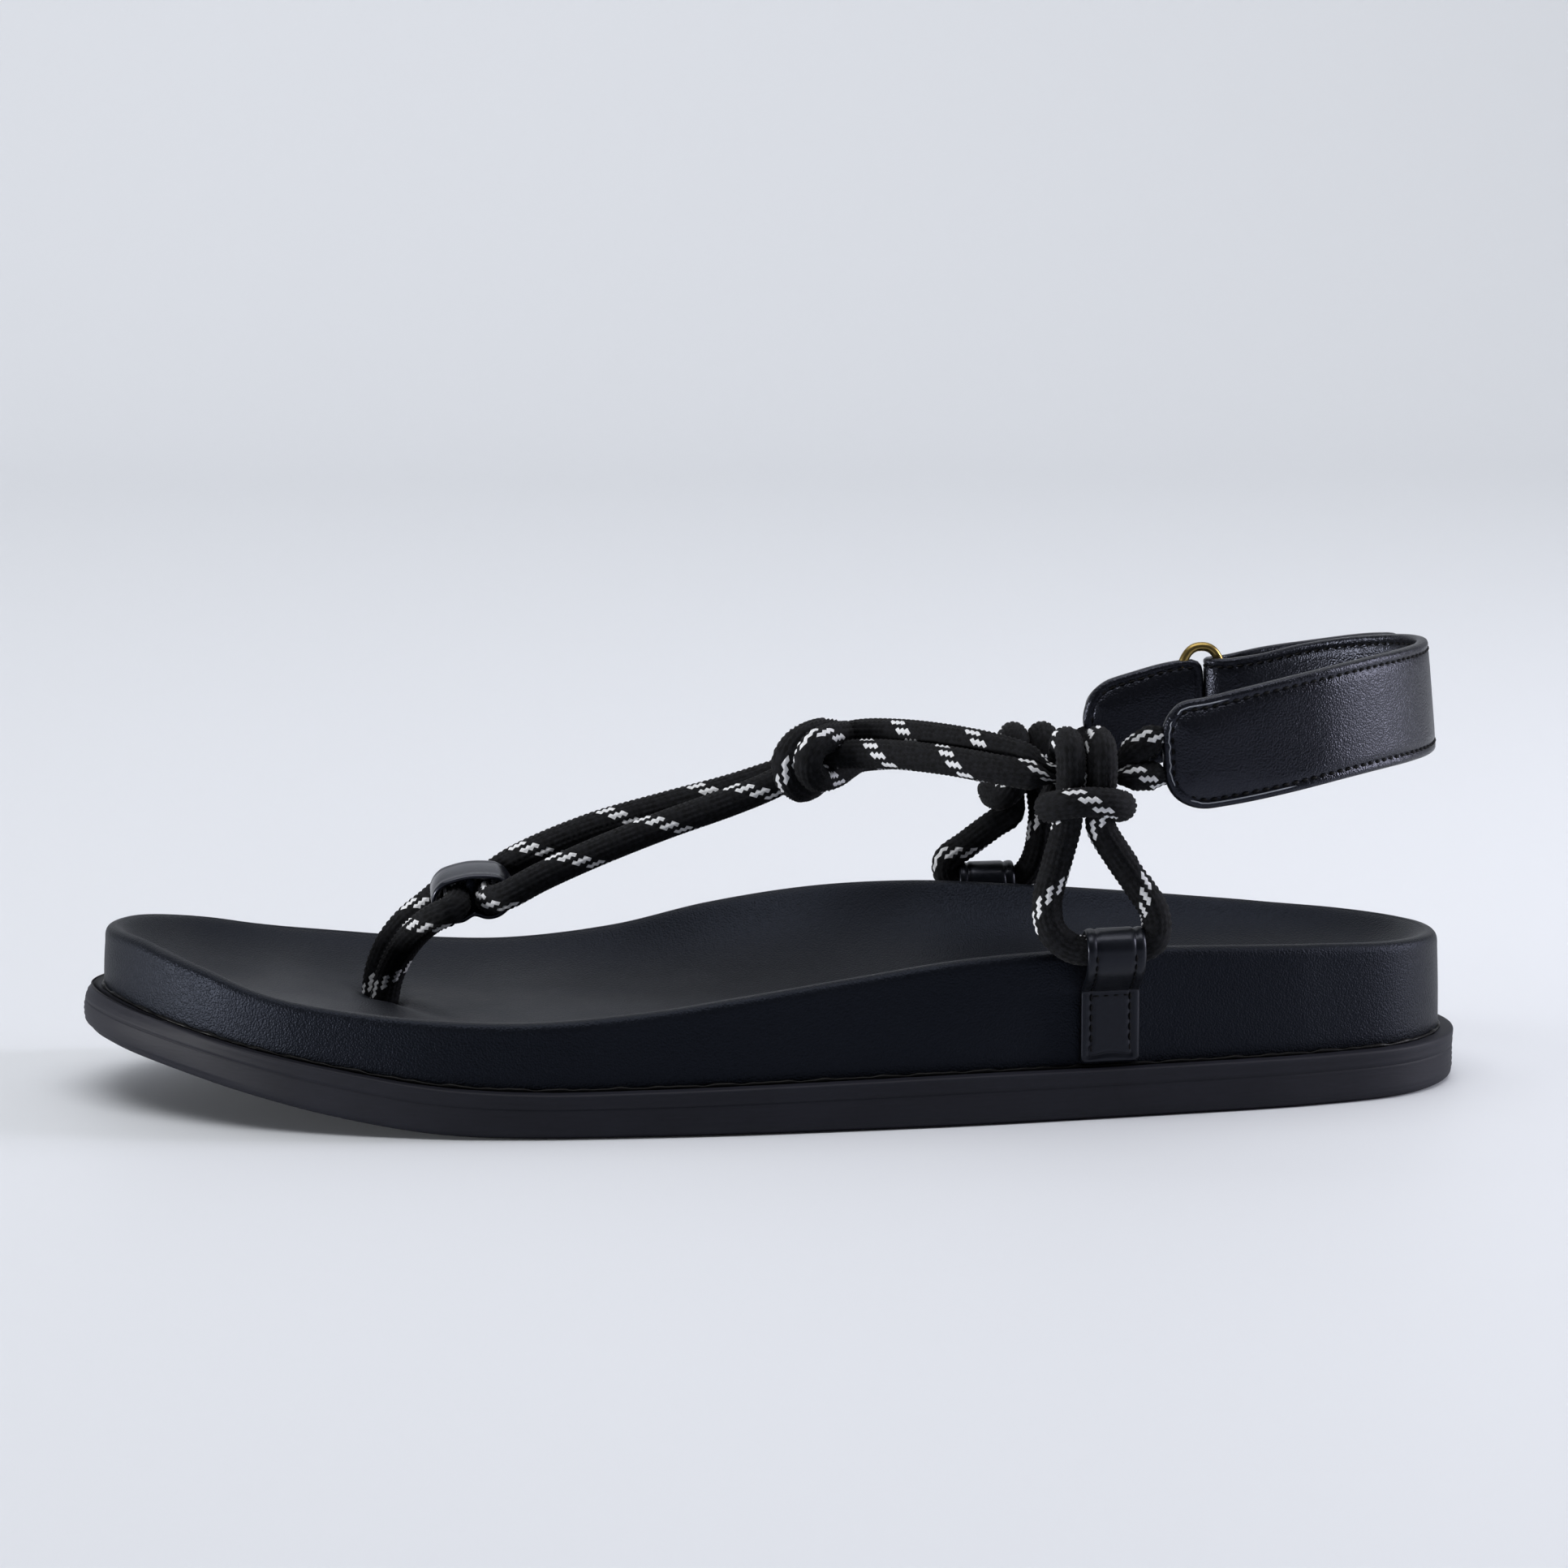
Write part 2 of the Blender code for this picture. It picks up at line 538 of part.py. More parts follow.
def footbed(mat, pairs):
    """Wrapped footbed: upright wall, rounded lip, dished top."""
    rings = [[(s[0], s[1], table(s[0], LEDGE_Z) + GAP) for s, e, _ in pairs]]
    for d in (None, 7.0, 0.15):
        ring = []
        for pr in pairs:
            d_here = {None: 0.5 * math.dist(pr[0], pr[1]), 0.15: ledge_width(pr) + 0.15}.get(d, d)
            p, _ = inset(pr, d_here)
            ring.append((p[0], p[1], table(p[0], LEDGE_Z) + GAP))
        rings.append(ring)
    wall = [(0.0, "low", 0.5), (0.35, "rim", -2.9), (0.75, "rim", -1.3),
            (1.6, "rim", -0.35), (2.7, "rim", 0.0), (3.9, "rim", -0.35)]
    for d, kind, add in wall:
        ring = []
        for pr in pairs:
            p, _ = inset(pr, ledge_width(pr) + d)
            low, high = table(p[0], LEDGE_Z) + GAP, rim_height(pr)
            z = {"low": low, "mid": 0.5 * (low + high), "rim": high}[kind] + add
            ring.append((p[0], p[1], z))
        rings.append(ring)
    for f in (0.78, 0.62, 0.38, 0.0):
        ring = []
        for pr in pairs:
            s, e, _ = pr
            q = 1 - (ledge_width(pr) + 3.9) / math.dist(s, e)
            g = f * 1.0
            x, y = s[0] + (e[0] - s[0]) * g * q / 0.88, s[1] + (e[1] - s[1]) * g * q / 0.88
            lip = rim_height(pr) - 0.35
            z = bed_height(pr, min(g / 0.88 * 0.985, 1.0))
            ring.append((x, y, min(z, lip)))
        rings.append(ring)
    verts, faces = rings_solid(rings, cap_ends=False)
    return solid("footbed", verts, faces, mat)


# Upper
def squeeze(side):
    """Radius along a side rope: thin inside its knot and inside the leather."""
    lo, hi = SQUEEZE[side]

    def radius(p, end):
        x = p[0]
        grow = min(1.0, max(lo - x, x - hi, 0.0) / 3.2)
        r = SQUEEZED_R + (CORD_R - SQUEEZED_R) * grow
        into = {"lateral": 68.6, "medial": 64.4}[side]
        if x > into:
            r = min(r, CORD_R + (END_R - CORD_R) * min((x - into) / 2.0, 1.0))
        return r

    return radius


def loop_rows(side):
    """Front rows: back of the knot, front wrap, leg, tab, and up again."""
    kx, ky, kz = KNOTS[side]
    out = -1.0 if side == "lateral" else 1.0
    tab_x, fold_z, _ = TABS[side]
    cz = fold_z - LEATHER - GAP - CORD_R

    def knot(u, d, v):
        return (kx + u, ky + out * d, kz + v)

    def tab_row(x):
        return (x, wall_point(side, x) + out * TUNNEL_OUT, cz)

    rear = [knot(*r) for r in HITCH_FRONT]
    rear += [(x, ky + out * d, z) for x, d, z in LEGS[side]["rear"]]
    rear += [tab_row(tab_x + 3.6)]
    fore = [knot(-u, d, v) for u, d, v in HITCH_FRONT]
    fore += [(x, ky + out * d, z) for x, d, z in LEGS[side]["fore"]]
    fore += [tab_row(tab_x - 3.6)]
    bar = [knot(*r) for r in HITCH_BAR]
    bar += [knot(-u, d, v) for u, d, v in reversed(HITCH_BAR[:-1])]
    return rear + fore[::-1], bar


def side_loop(name, side, mat):
    """Ring hitch: legs and front wraps as one rope, the bar joined to it."""
    legs, bar = loop_rows(side)
    loop = cord(name, legs, mat, step=3.0)
    return boolean(loop, [cord("bar", bar, extra=-0.07, step=2.4, where=CUTTERS)], "UNION")


TUNNEL_OUT = 4.4


def wall_point(side, x):
    """y of the footbed's wall at x on one side of the foot."""
    col = OUTER if side == "lateral" else INNER
    y = table(x, col)
    return y + LEDGE if side == "lateral" else y - LEDGE


def loop_tab(name, side, mat):
    """Leather strip folded over the loop and sewn down on the wall.

    Its section is drawn outwards from the wall and upwards, then carried
    along the wall for the tab's width, following the wall's own slope.
    """
    tab_x, fold_z, sewn_z = TABS[side]
    out = -1.0 if side == "lateral" else 1.0
    ledge = table(tab_x, LEDGE_Z)
    c_out, c_z = TUNNEL_OUT, fold_z - LEATHER - GAP - CORD_R
    r = CORD_R + GAP + LEATHER
    section = [(GAP, ledge + 0.4), (GAP + 1.3, ledge + 0.4), (GAP + 1.4, sewn_z - 0.6),
               (GAP + 2.1, sewn_z + 0.3), (c_out + r * 0.80, c_z - r * 0.62)]
    for k in range(0, 9):
        a = math.radians(-18 + 23.5 * k)
        section.append((c_out + r * math.cos(a), c_z + r * math.sin(a)))
    section.append((GAP, c_z - 1.2))
    rings = []
    for k in range(5):
        x = tab_x + TAB_W * (k / 4 - 0.5)
        base = wall_point(side, x)
        rings.append([(x, base + out * o, z) for o, z in section])
    verts, faces = rings_solid(rings)
    tab = solid(name, verts, faces, mat)
    legs = loop_rows(side)[0]
    return boolean(tab, [cord("tunnel", legs, extra=GAP, step=3.0, where=CUTTERS)], "DIFFERENCE")


def figure_eight(radius, pinch_z):
    """Section round two bights: two half rounds, flat top, pinched underside."""
    half = 3.15
    pts = []
    for k in range(9):
        a = math.radians(90 + 24.4 * k)
        pts.append((-half + radius * math.cos(a), radius * math.sin(a)))
    pts.append((0.0, pinch_z))
    for k in range(9):
        a = math.radians(-105.2 + 24.4 * k)
        pts.append((half + radius * math.cos(a), radius * math.sin(a)))
    return pts


def toe_keeper(mat):
    """Leather sleeve round both bights, its axis across the foot."""
    mid = Vector((-56.85, 7.1, 36.6))
    axis = Vector((0.0, 0.972, 0.236)).normalized()
    u = Vector((0.992, 0.0, 0.126))
    u = (u - axis * u.dot(axis)).normalized()
    v = axis.cross(u) * -1.0
    if v.z < 0:
        v = -v
    inner, mouth = figure_eight(3.4, -2.4), figure_eight(4.1, -2.9)
    outer = figure_eight(4.8, -3.9)
    half = 3.9
    stations = [(-half, 0.25), (-half + 0.5, 0.0), (0.0, -0.12), (half - 0.5, 0.0), (half, 0.25)]
    n = len(outer)
    rings = []
    for s, pull in stations:
        rings.append([mid + axis * s + u * a * (1 - pull / 8) + v * b * (1 - pull / 5) for a, b in outer])
    for s, shape in ((half, mouth), (1.6, inner), (-1.6, inner), (-half, mouth)):
        rings.append([mid + axis * s + u * a + v * b for a, b in shape])
    verts, faces = rings_solid(rings, closed_path=True)
    return solid("toe_keeper", verts, faces, mat)


def strip(name, rows, mat, step=3.0):
    """Leather strip: a rounded slab carried along the rows, standing upright."""
    path = spline(rows, False, step)
    pts, tans, _, _ = frames(path)
    rings = []
    for p, t, row in zip(pts, tans, path):
        half, thick, lean = row[3], row[4], row[5]
        side = Vector((t.y, -t.x, 0.0)).normalized()
        up = side.cross(t).normalized()
        if up.z < 0:
            up = -up
        inward = Vector((95.0 - p.x, -p.y, 0.0)).normalized() * lean
        top, low = p + up * half + inward, p - up * half - inward * 0.4
        h = thick / 2
        b = min(h * 0.6, 0.5)
        ring = [
            low + side * (h - b), low + up * b + side * h,
            p + side * h + inward * 0.3,
            top - up * b + side * h, top + side * (h - b),
            top - side * (h - b), top - up * b - side * h,
            p - side * h + inward * 0.3,
            low + up * b - side * h, low - side * (h - b),
        ]
        rings.append(ring)
    verts, faces = rings_solid(rings)
    return solid(name, verts, faces, mat)


def ring_path():
    """Stadium path of the brass ring, upright along the foot."""
    cx, cy, cz = RING["middle"]
    long, wide = RING["half_long"], RING["half_wide"]
    rows = []
    for k in range(24):
        a = 2 * math.pi * k / 24
        c, s = math.cos(a), math.sin(a)
        e = 0.5
        rows.append((cx + wide * math.copysign(abs(c) ** e, c), cy,
                     cz + long * math.copysign(abs(s) ** e, s)))
    return rows


# Build
for old in list(bpy.data.objects):
    bpy.data.objects.remove(old, do_unlink=True)
PIECES = bpy.data.collections.new("rope_sandal")
bpy.context.scene.collection.children.link(PIECES)
CUTTERS = bpy.data.collections.new("cutters")
bpy.context.scene.collection.children.link(CUTTERS)

rubber = material("outsole_rubber", "#2A2C31", 0.72)
wrap = material("footbed_leather", "#1C1D21", 0.5)
rope = material("braided_rope", "#16171A", 0.85)
rope_b = material("braided_rope_toe", "#16171A", 0.85)
rope_c = material("braided_rope_outer_loop", "#16171A", 0.85)
rope_d = material("braided_rope_inner_loop", "#16171A", 0.85)
keep_leather = material("keeper_leather", "#1A1B1F", 0.35)
tab_leather = material("outer_tab_leather", "#17181C", 0.42)
tab_leather_b = material("inner_tab_leather", "#17181C", 0.42)
strap_leather = material("strap_leather", "#16181D", 0.45)
ring_leather = material("ring_tab_leather", "#17191E", 0.45)
brass = material("aged_brass", "#8A7245", 0.38, 1.0)

PAIRS = spine_and_edge()
outsole(rubber, PAIRS)
bed = footbed(wrap, PAIRS)

# hole of the footbed: the toe post's own rope, fattened and run straight down
low_a, low_b = (TOE_POST[0][0], TOE_POST[0][1], 4.0), (TOE_POST[-1][0], TOE_POST[-1][1], 4.0)
boolean(bed, [cord("hole_a", [low_a] + TOE_POST[:7], extra=GAP + 0.05, step=2.4, where=CUTTERS),
              cord("hole_b", TOE_POST[-7:] + [low_b], extra=GAP + 0.05, step=2.4, where=CUTTERS)],
        "DIFFERENCE")

cord("toe_post_cord", TOE_POST, rope_b)

instep = cord("instep_rope", INSTEP_BIGHT, rope)
parts = [
    cord("wrap_rear", KNOT_WRAP_REAR, where=CUTTERS, step=2.6),
    cord("wrap_front", KNOT_WRAP_FRONT, where=CUTTERS, shrink=squeeze("medial")),
    cord("medial_upper", MEDIAL_UPPER, where=CUTTERS, shrink=squeeze("medial")),
    cord("lateral_upper", LATERAL_UPPER, where=CUTTERS, shrink=squeeze("lateral")),
    cord("lateral_lower", LATERAL_LOWER, where=CUTTERS, shrink=squeeze("lateral")),
]
boolean(instep, parts, "UNION", "MANIFOLD")

side_loop("side_loop_lateral", "lateral", rope_c)
side_loop("side_loop_medial", "medial", rope_d)
for side, mat in (("lateral", tab_leather), ("medial", tab_leather_b)):
    loop_tab("loop_tab_" + side, side, mat)

toe_keeper(keep_leather)
strap = strip("heel_strap", HEEL_STRAP, strap_leather, 4.2)
tab = strip("ring_tab", RING_TAB, ring_leather)
for piece, rows, side in ((strap, LATERAL_UPPER, "lateral"), (strap, LATERAL_LOWER, "lateral"),
                          (tab, MEDIAL_UPPER, "medial"), (tab, KNOT_WRAP_FRONT, "medial")):
    a, b = Vector(rows[-2]), Vector(rows[-1])
    longer = list(rows) + [tuple(b + (b - a).normalized() * GAP)]
    boolean(piece, [cord("socket", longer, extra=GAP, where=CUTTERS, shrink=squeeze(side))],
            "DIFFERENCE")
for piece in (tab, strap):
    boolean(piece, [cord("bar_room", ring_path(), radius=RING_WIRE, extra=GAP, closed=True,
                         step=2.0, where=CUTTERS)], "DIFFERENCE")
cord("strap_ring", ring_path(), brass, radius=RING_WIRE, closed=True, step=2.0)

for leftover in list(CUTTERS.objects):
    bpy.data.objects.remove(leftover, do_unlink=True)
bpy.data.collections.remove(CUTTERS)
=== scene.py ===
# %% [markdown]
# # Rope sandal
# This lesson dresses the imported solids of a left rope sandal. The real one is a foam footbed
# wrapped in black leather, glued on a rubber outsole. Its upper is braided rope: a toe post,
# two ropes over the instep, a knot, and side ropes that end in a leather heel strap.
# Every visible piece is worked out here as a numpy surface. The large ones stand for the packed
# solids, and the stitches, the cement and the keeper's web are small parts added to them.

import math

import bmesh
import bpy
import numpy as np
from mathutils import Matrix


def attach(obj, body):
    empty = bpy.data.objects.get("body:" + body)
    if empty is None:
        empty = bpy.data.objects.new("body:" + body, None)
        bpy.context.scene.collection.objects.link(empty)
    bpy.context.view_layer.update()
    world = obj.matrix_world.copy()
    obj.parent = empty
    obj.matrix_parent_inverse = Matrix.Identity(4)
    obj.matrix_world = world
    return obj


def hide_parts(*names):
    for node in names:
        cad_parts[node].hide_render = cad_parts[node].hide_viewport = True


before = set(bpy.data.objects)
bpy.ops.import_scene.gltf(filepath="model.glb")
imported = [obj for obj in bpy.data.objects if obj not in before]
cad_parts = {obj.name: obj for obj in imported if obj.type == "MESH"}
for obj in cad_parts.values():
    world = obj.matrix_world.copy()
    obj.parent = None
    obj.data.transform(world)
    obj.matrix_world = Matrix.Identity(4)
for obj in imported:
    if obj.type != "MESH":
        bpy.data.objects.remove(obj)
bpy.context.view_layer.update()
print("solids to dress:", sorted(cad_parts))

# %% [markdown]
# ## Frame and camera
# The tables below hold millimetres, with the toe towards -X, the heel towards +X and the outer
# side of the foot towards -Y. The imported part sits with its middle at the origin, so every
# table is moved by the same small step. The camera has the photograph's angle: a long lens,
# almost level, looking at the outer side from a little in front of the middle.

# %% Frame and camera
MM = 0.001
ORIGIN = np.array([0.56, -0.926, 0.0])
YAW = math.radians(6.0)
PITCH = math.radians(8.08)
CAMERA_DISTANCE = 955.0
CAMERA_HEIGHT = 193.0
AIM_X = 2.0
LENS = 117.2

camera = bpy.data.objects.new("camera", bpy.data.cameras.new("camera"))
bpy.context.scene.collection.objects.link(camera)
bpy.context.scene.camera = camera
eye = np.array([AIM_X - CAMERA_DISTANCE * math.sin(YAW), -CAMERA_DISTANCE * math.cos(YAW), CAMERA_HEIGHT])
camera.location = (eye - ORIGIN) * MM
camera.rotation_euler = (math.pi / 2 - PITCH, 0.0, -YAW)
camera.data.lens = LENS
camera.data.sensor_width = 36.0
camera.data.clip_end = 20.0
print("camera at", [round(v, 4) for v in camera.location])

# %% [markdown]
# ## Paths and frames
# A rope or a strap is a cross section carried along a path. The path is a smooth curve through
# a few bends, read at even steps of its own length. Along it runs a frame of three directions
# that turns as little as it can, so the braid doesn't twist where the rope only bends.


# %% Paths and frames
FINE_STEPS = 24


def unit(vectors):
    """Each vector divided by its length."""
    return vectors / np.maximum(np.linalg.norm(vectors, axis=-1, keepdims=True), 1e-12)


def smooth_path(rows, step, closed=False):
    """Even points on a smooth curve through the rows.

    Between two rows runs a cubic whose knots grow with the square root of the distance
    between rows, so it neither loops nor overshoots. Columns after x, y, z ride along.
    """
    rows = np.asarray(rows, float)
    if closed:
        spans = rows[(np.arange(len(rows))[:, None] + np.arange(-1, 3)) % len(rows)]
    else:
        longer = np.vstack([2 * rows[0] - rows[1], rows, 2 * rows[-1] - rows[-2]])
        spans = longer[np.arange(len(rows) - 1)[:, None] + np.arange(4)]
    gaps = np.sqrt(np.maximum(np.linalg.norm(np.diff(spans[..., :3], axis=1), axis=2), 1e-6))
    knots = np.concatenate([np.zeros((len(spans), 1)), np.cumsum(gaps, axis=1)], axis=1)[..., None]
    t = knots[:, 1] + (knots[:, 2] - knots[:, 1]) * np.arange(FINE_STEPS) / FINE_STEPS

    def between(a, b, i, j):
        part = (t - knots[:, i]) / (knots[:, j] - knots[:, i])
        return a + (b - a) * part[..., None]

    p = [spans[:, k][:, None] for k in range(4)]
    first = [between(p[k], p[k + 1], k, k + 1) for k in range(3)]
    second = [between(first[k], first[k + 1], k, k + 2) for k in range(2)]
    fine = between(second[0], second[1], 1, 2).reshape(-1, rows.shape[1])
    fine = np.vstack([fine, fine[:1] if closed else rows[-1:]])
    run = np.concatenate([[0], np.cumsum(np.linalg.norm(np.diff(fine[:, :3], axis=0), axis=1))])
    count = max(2, round(run[-1] / step))
    stops = run[-1] * np.arange(count + (0 if closed else 1)) / count
    return np.stack([np.interp(stops, run, column) for column in fine.T], axis=1), stops


def carried_frames(points, closed=False):
    """Tangent, side and up at each point. Each side is the last one, made square to the path."""
    if closed:
        tangent = unit(np.roll(points, -1, axis=0) - np.roll(points, 1, axis=0))
    else:
        tangent = unit(np.gradient(points, axis=0))
    side = np.zeros_like(points)
    side[0] = unit(np.cross(tangent[0], [0.31, 0.27, 0.91]))
    for i in range(1, len(points)):
        flat = side[i - 1] - tangent[i] * (side[i - 1] @ tangent[i])
        side[i] = flat / np.linalg.norm(flat)
    return tangent, side, np.cross(tangent, side)


# %% [markdown]
# ## From a grid to a mesh
# Every piece is a grid of points: rows along it and columns around it. One function makes the
# quads between neighbours, merges the points that fall together at a pole, and turns the faces
# outwards. The object stays at the origin with its place in its mesh, as the solids do.


# %% From a grid to a mesh
def make_piece(name, points, quads, material, marks=None, replaced=()):
    """Object from points in millimetres and corner numbers, doubles merged, faces out."""
    mesh = bpy.data.meshes.new(name)
    mesh.from_pydata((points - ORIGIN) * MM, [], quads)
    for label, values in (marks or {}).items():
        attribute = mesh.attributes.new(label, "FLOAT", "FACE")
        attribute.data.foreach_set("value", np.asarray(values, np.float32))
    bm = bmesh.new()
    bm.from_mesh(mesh)
    bmesh.ops.remove_doubles(bm, verts=bm.verts, dist=2e-6)
    bmesh.ops.recalc_face_normals(bm, faces=bm.faces)
    bm.to_mesh(mesh)
    bm.free()
    mesh.polygons.foreach_set("use_smooth", np.ones(len(mesh.polygons), bool))
    mesh.materials.append(material)
    piece = bpy.data.objects.new(name, mesh)
    bpy.context.scene.collection.objects.link(piece)
    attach(piece, "root")
    if replaced:
        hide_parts(*replaced)
    print(name, len(mesh.polygons), "faces")
    return piece


def grid_quads(rows, columns, closed_rows=False):
    """Corner numbers of the quads between neighbouring rows; columns close on themselves."""
    corner = np.arange(rows * columns).reshape(rows, columns)
    if closed_rows:
        corner = np.vstack([corner, corner[:1]])
    right = np.roll(corner, -1, axis=1)
    return np.stack([corner[:-1], right[:-1], right[1:], corner[1:]], axis=-1).reshape(-1, 4)


def skin(name, grid, material, closed_rows=False, marks=None, replaced=()):
    """Piece from a grid of points."""
    quads = grid_quads(*grid.shape[:2], closed_rows)
    return make_piece(name, grid.reshape(-1, 3), quads, material, marks, replaced)


# %% [markdown]
# ## Colours and nodes
# Colours are read off the photograph as sRGB hex values, and a shader works in linear light,
# so one function turns them. A second small function adds any shader node with its settings
# and links, which keeps each material below as short as its recipe.


# %% Colours and nodes
def linear(code):
    """Hex sRGB to linear red, green, blue and 1."""
    part = np.array([int(code[k:k + 2], 16) / 255 for k in (1, 3, 5)])
    part = np.where(part <= 0.04045, part / 12.92, ((part + 0.055) / 1.055) ** 2.4)
    return (*part.tolist(), 1.0)


def add(tree, kind, inputs=None, **settings):
    """Node of that kind. An input is a value or the output socket that feeds it."""
    made = tree.nodes.new(kind)
    for key, value in settings.items():
        setattr(made, key, value)
    for key, value in (inputs or {}).items():
        if isinstance(value, bpy.types.NodeSocket):
            tree.links.new(value, made.inputs[key])
        else:
            made.inputs[key].default_value = value
    return made


def new_material(name, sockets):
    """Material with a Principled BSDF whose sockets are set by name."""
    material = bpy.data.materials.new(name)
    material.use_nodes = True
    shader = material.node_tree.nodes["Principled BSDF"]
    for key, value in sockets.items():
        shader.inputs[key].default_value = value
    return material, material.node_tree, shader


def per_mm(size):
    """Texture scale that gives a feature of that many millimetres."""
    return 1.0 / (size * MM)


# %% [markdown]
# ## Black leather
# The footbed, tabs, keeper and strap are coated leather: a split hide under a thin, dyed and
# embossed film. The film gives a soft sheen, an index of refraction near 1.5, and a pebble
# grain under a millimetre wide. The grain could be cut into the mesh, but it is far finer than
# the faces, so a bump node draws it. Each piece has its own gloss and the recipe is the same,
# so one function makes all four.


# %% Black leather
def coated_leather(name, dark, light, gloss, grain_mm, grain_depth, shine, coat=0.0, tint="#DCE2FF"):
    """Leather with pebbles from Voronoi cells, broken up by noise, and an uneven sheen.

    gloss is the roughness, shine the strength of the mirror-like part, and tint its colour: a
    blue cast painted onto the lamps' reflections. It shows only there, because the leather itself
    is almost black.
    """
    material, tree, shader = new_material(
        name, {"IOR": 1.5, "Specular IOR Level": shine, "Specular Tint": linear(tint),
               "Coat Weight": coat, "Coat Roughness": 0.18})
    place = add(tree, "ShaderNodeTexCoord").outputs["Object"]
    drift = add(tree, "ShaderNodeTexNoise", {"Vector": place, "Scale": per_mm(1.6), "Detail": 3.0})
    bent = add(tree, "ShaderNodeMix", {
        "Factor": 0.6 * MM, "A": place, "B": drift.outputs["Color"]}, data_type="VECTOR")
    pebbles = add(tree, "ShaderNodeTexVoronoi", {
        "Vector": bent.outputs["Result"], "Scale": per_mm(grain_mm), "Smoothness": 0.6},
        feature="SMOOTH_F1")
    pores = add(tree, "ShaderNodeTexNoise", {"Vector": place, "Scale": per_mm(0.35), "Detail": 2.0})
    relief = add(tree, "ShaderNodeMix", {
        "Factor": 0.3, "A": pebbles.outputs["Distance"], "B": pores.outputs["Fac"]}, data_type="FLOAT")
    clouds = add(tree, "ShaderNodeTexNoise", {"Vector": place, "Scale": per_mm(22.0), "Detail": 4.0})
    tone = add(tree, "ShaderNodeMix", {
        "Factor": clouds.outputs["Fac"], "A": linear(dark), "B": linear(light)}, data_type="RGBA")
    sheen = add(tree, "ShaderNodeMapRange", {
        "Value": clouds.outputs["Fac"], "From Min": 0.3, "From Max": 0.7,
        "To Min": gloss - 0.05, "To Max": gloss + 0.06})
    bump = add(tree, "ShaderNodeBump", {
        "Height": relief.outputs["Result"], "Strength": grain_depth, "Distance": 0.25 * MM}, invert=True)
    tree.links.new(tone.outputs["Result"], shader.inputs["Base Color"])
    tree.links.new(sheen.outputs["Result"], shader.inputs["Roughness"])
    tree.links.new(bump.outputs["Normal"], shader.inputs["Normal"])
    return material


# The wrap is matt with a tight grain, the strap has a soft band of gloss, and the tabs and
# the keeper are smooth pieces whose thicker coat shows a clear highlight.
# Each tint paints a blue cast onto that leather's reflections of the white lamps, bluest on the wrap.
WRAP_LEATHER = coated_leather(
    "coated_leather_embossed_wrap", "#060709", "#0B0D11", 0.47, 0.35, 0.6, 0.18, tint="#CCDAFF")
STRAP_LEATHER = coated_leather(
    "coated_leather_pebbled_strap", "#060709", "#0C0D11", 0.33, 0.36, 0.5, 0.34)
TAB_LEATHER = coated_leather(
    "coated_leather_smooth_tab", "#06080B", "#0B0D11", 0.36, 0.8, 0.12, 0.24, coat=0.1)
KEEPER_LEATHER = coated_leather(
    "coated_leather_glossy_keeper", "#0B0D12", "#12141A", 0.3, 1.2, 0.1, 0.4, coat=0.25)
print("leathers:", WRAP_LEATHER.name, STRAP_LEATHER.name, TAB_LEATHER.name, KEEPER_LEATHER.name)

# %% [markdown]
# ## Rubber
# The outsole is moulded rubber, buffed on its side, so it is greyer and rougher than leather.
# The buffing leaves scratches along the foot. A noise that is stretched in the plan and not
# in height draws them on every side of the sole at once, without a map of the surface.


# %% Rubber
def buffed_rubber():
    """Grey black with fine scratches that run along the foot, and a dry, even roughness."""
    material, tree, shader = new_material(
        "moulded_rubber_buffed", {"IOR": 1.52, "Roughness": 0.62, "Specular IOR Level": 0.2})
    place = add(tree, "ShaderNodeTexCoord").outputs["Object"]
    drawn = add(tree, "ShaderNodeMapping", {"Vector": place, "Scale": (0.12, 0.12, 1.0)})
    scratches = add(tree, "ShaderNodeTexNoise", {
        "Vector": drawn.outputs["Vector"], "Scale": per_mm(0.45), "Detail": 4.0, "Roughness": 0.65})
    clouds = add(tree, "ShaderNodeTexNoise", {"Vector": place, "Scale": per_mm(14.0), "Detail": 5.0})
    both = add(tree, "ShaderNodeMix", {
        "Factor": 0.4, "A": clouds.outputs["Fac"], "B": scratches.outputs["Fac"]}, data_type="FLOAT")
    tone = add(tree, "ShaderNodeMix", {
        "Factor": both.outputs["Result"], "A": linear("#0B0C13"), "B": linear("#1F202A")}, data_type="RGBA")
    bump = add(tree, "ShaderNodeBump", {
        "Height": scratches.outputs["Fac"], "Strength": 0.3, "Distance": 0.12 * MM})
    tree.links.new(tone.outputs["Result"], shader.inputs["Base Color"])
    tree.links.new(bump.outputs["Normal"], shader.inputs["Normal"])
    return material


RUBBER = buffed_rubber()
print("sole:", RUBBER.name)

# %% [markdown]
# ## Rope polyester
# The rope is braided polyester: matt black yarn with a few off-white yarns that surface as
# flecks. A striped texture could draw the flecks, but it would slide off the yarns at every
# bend. Here each face of the rope's mesh says whether its yarn is a light one, and how dark.


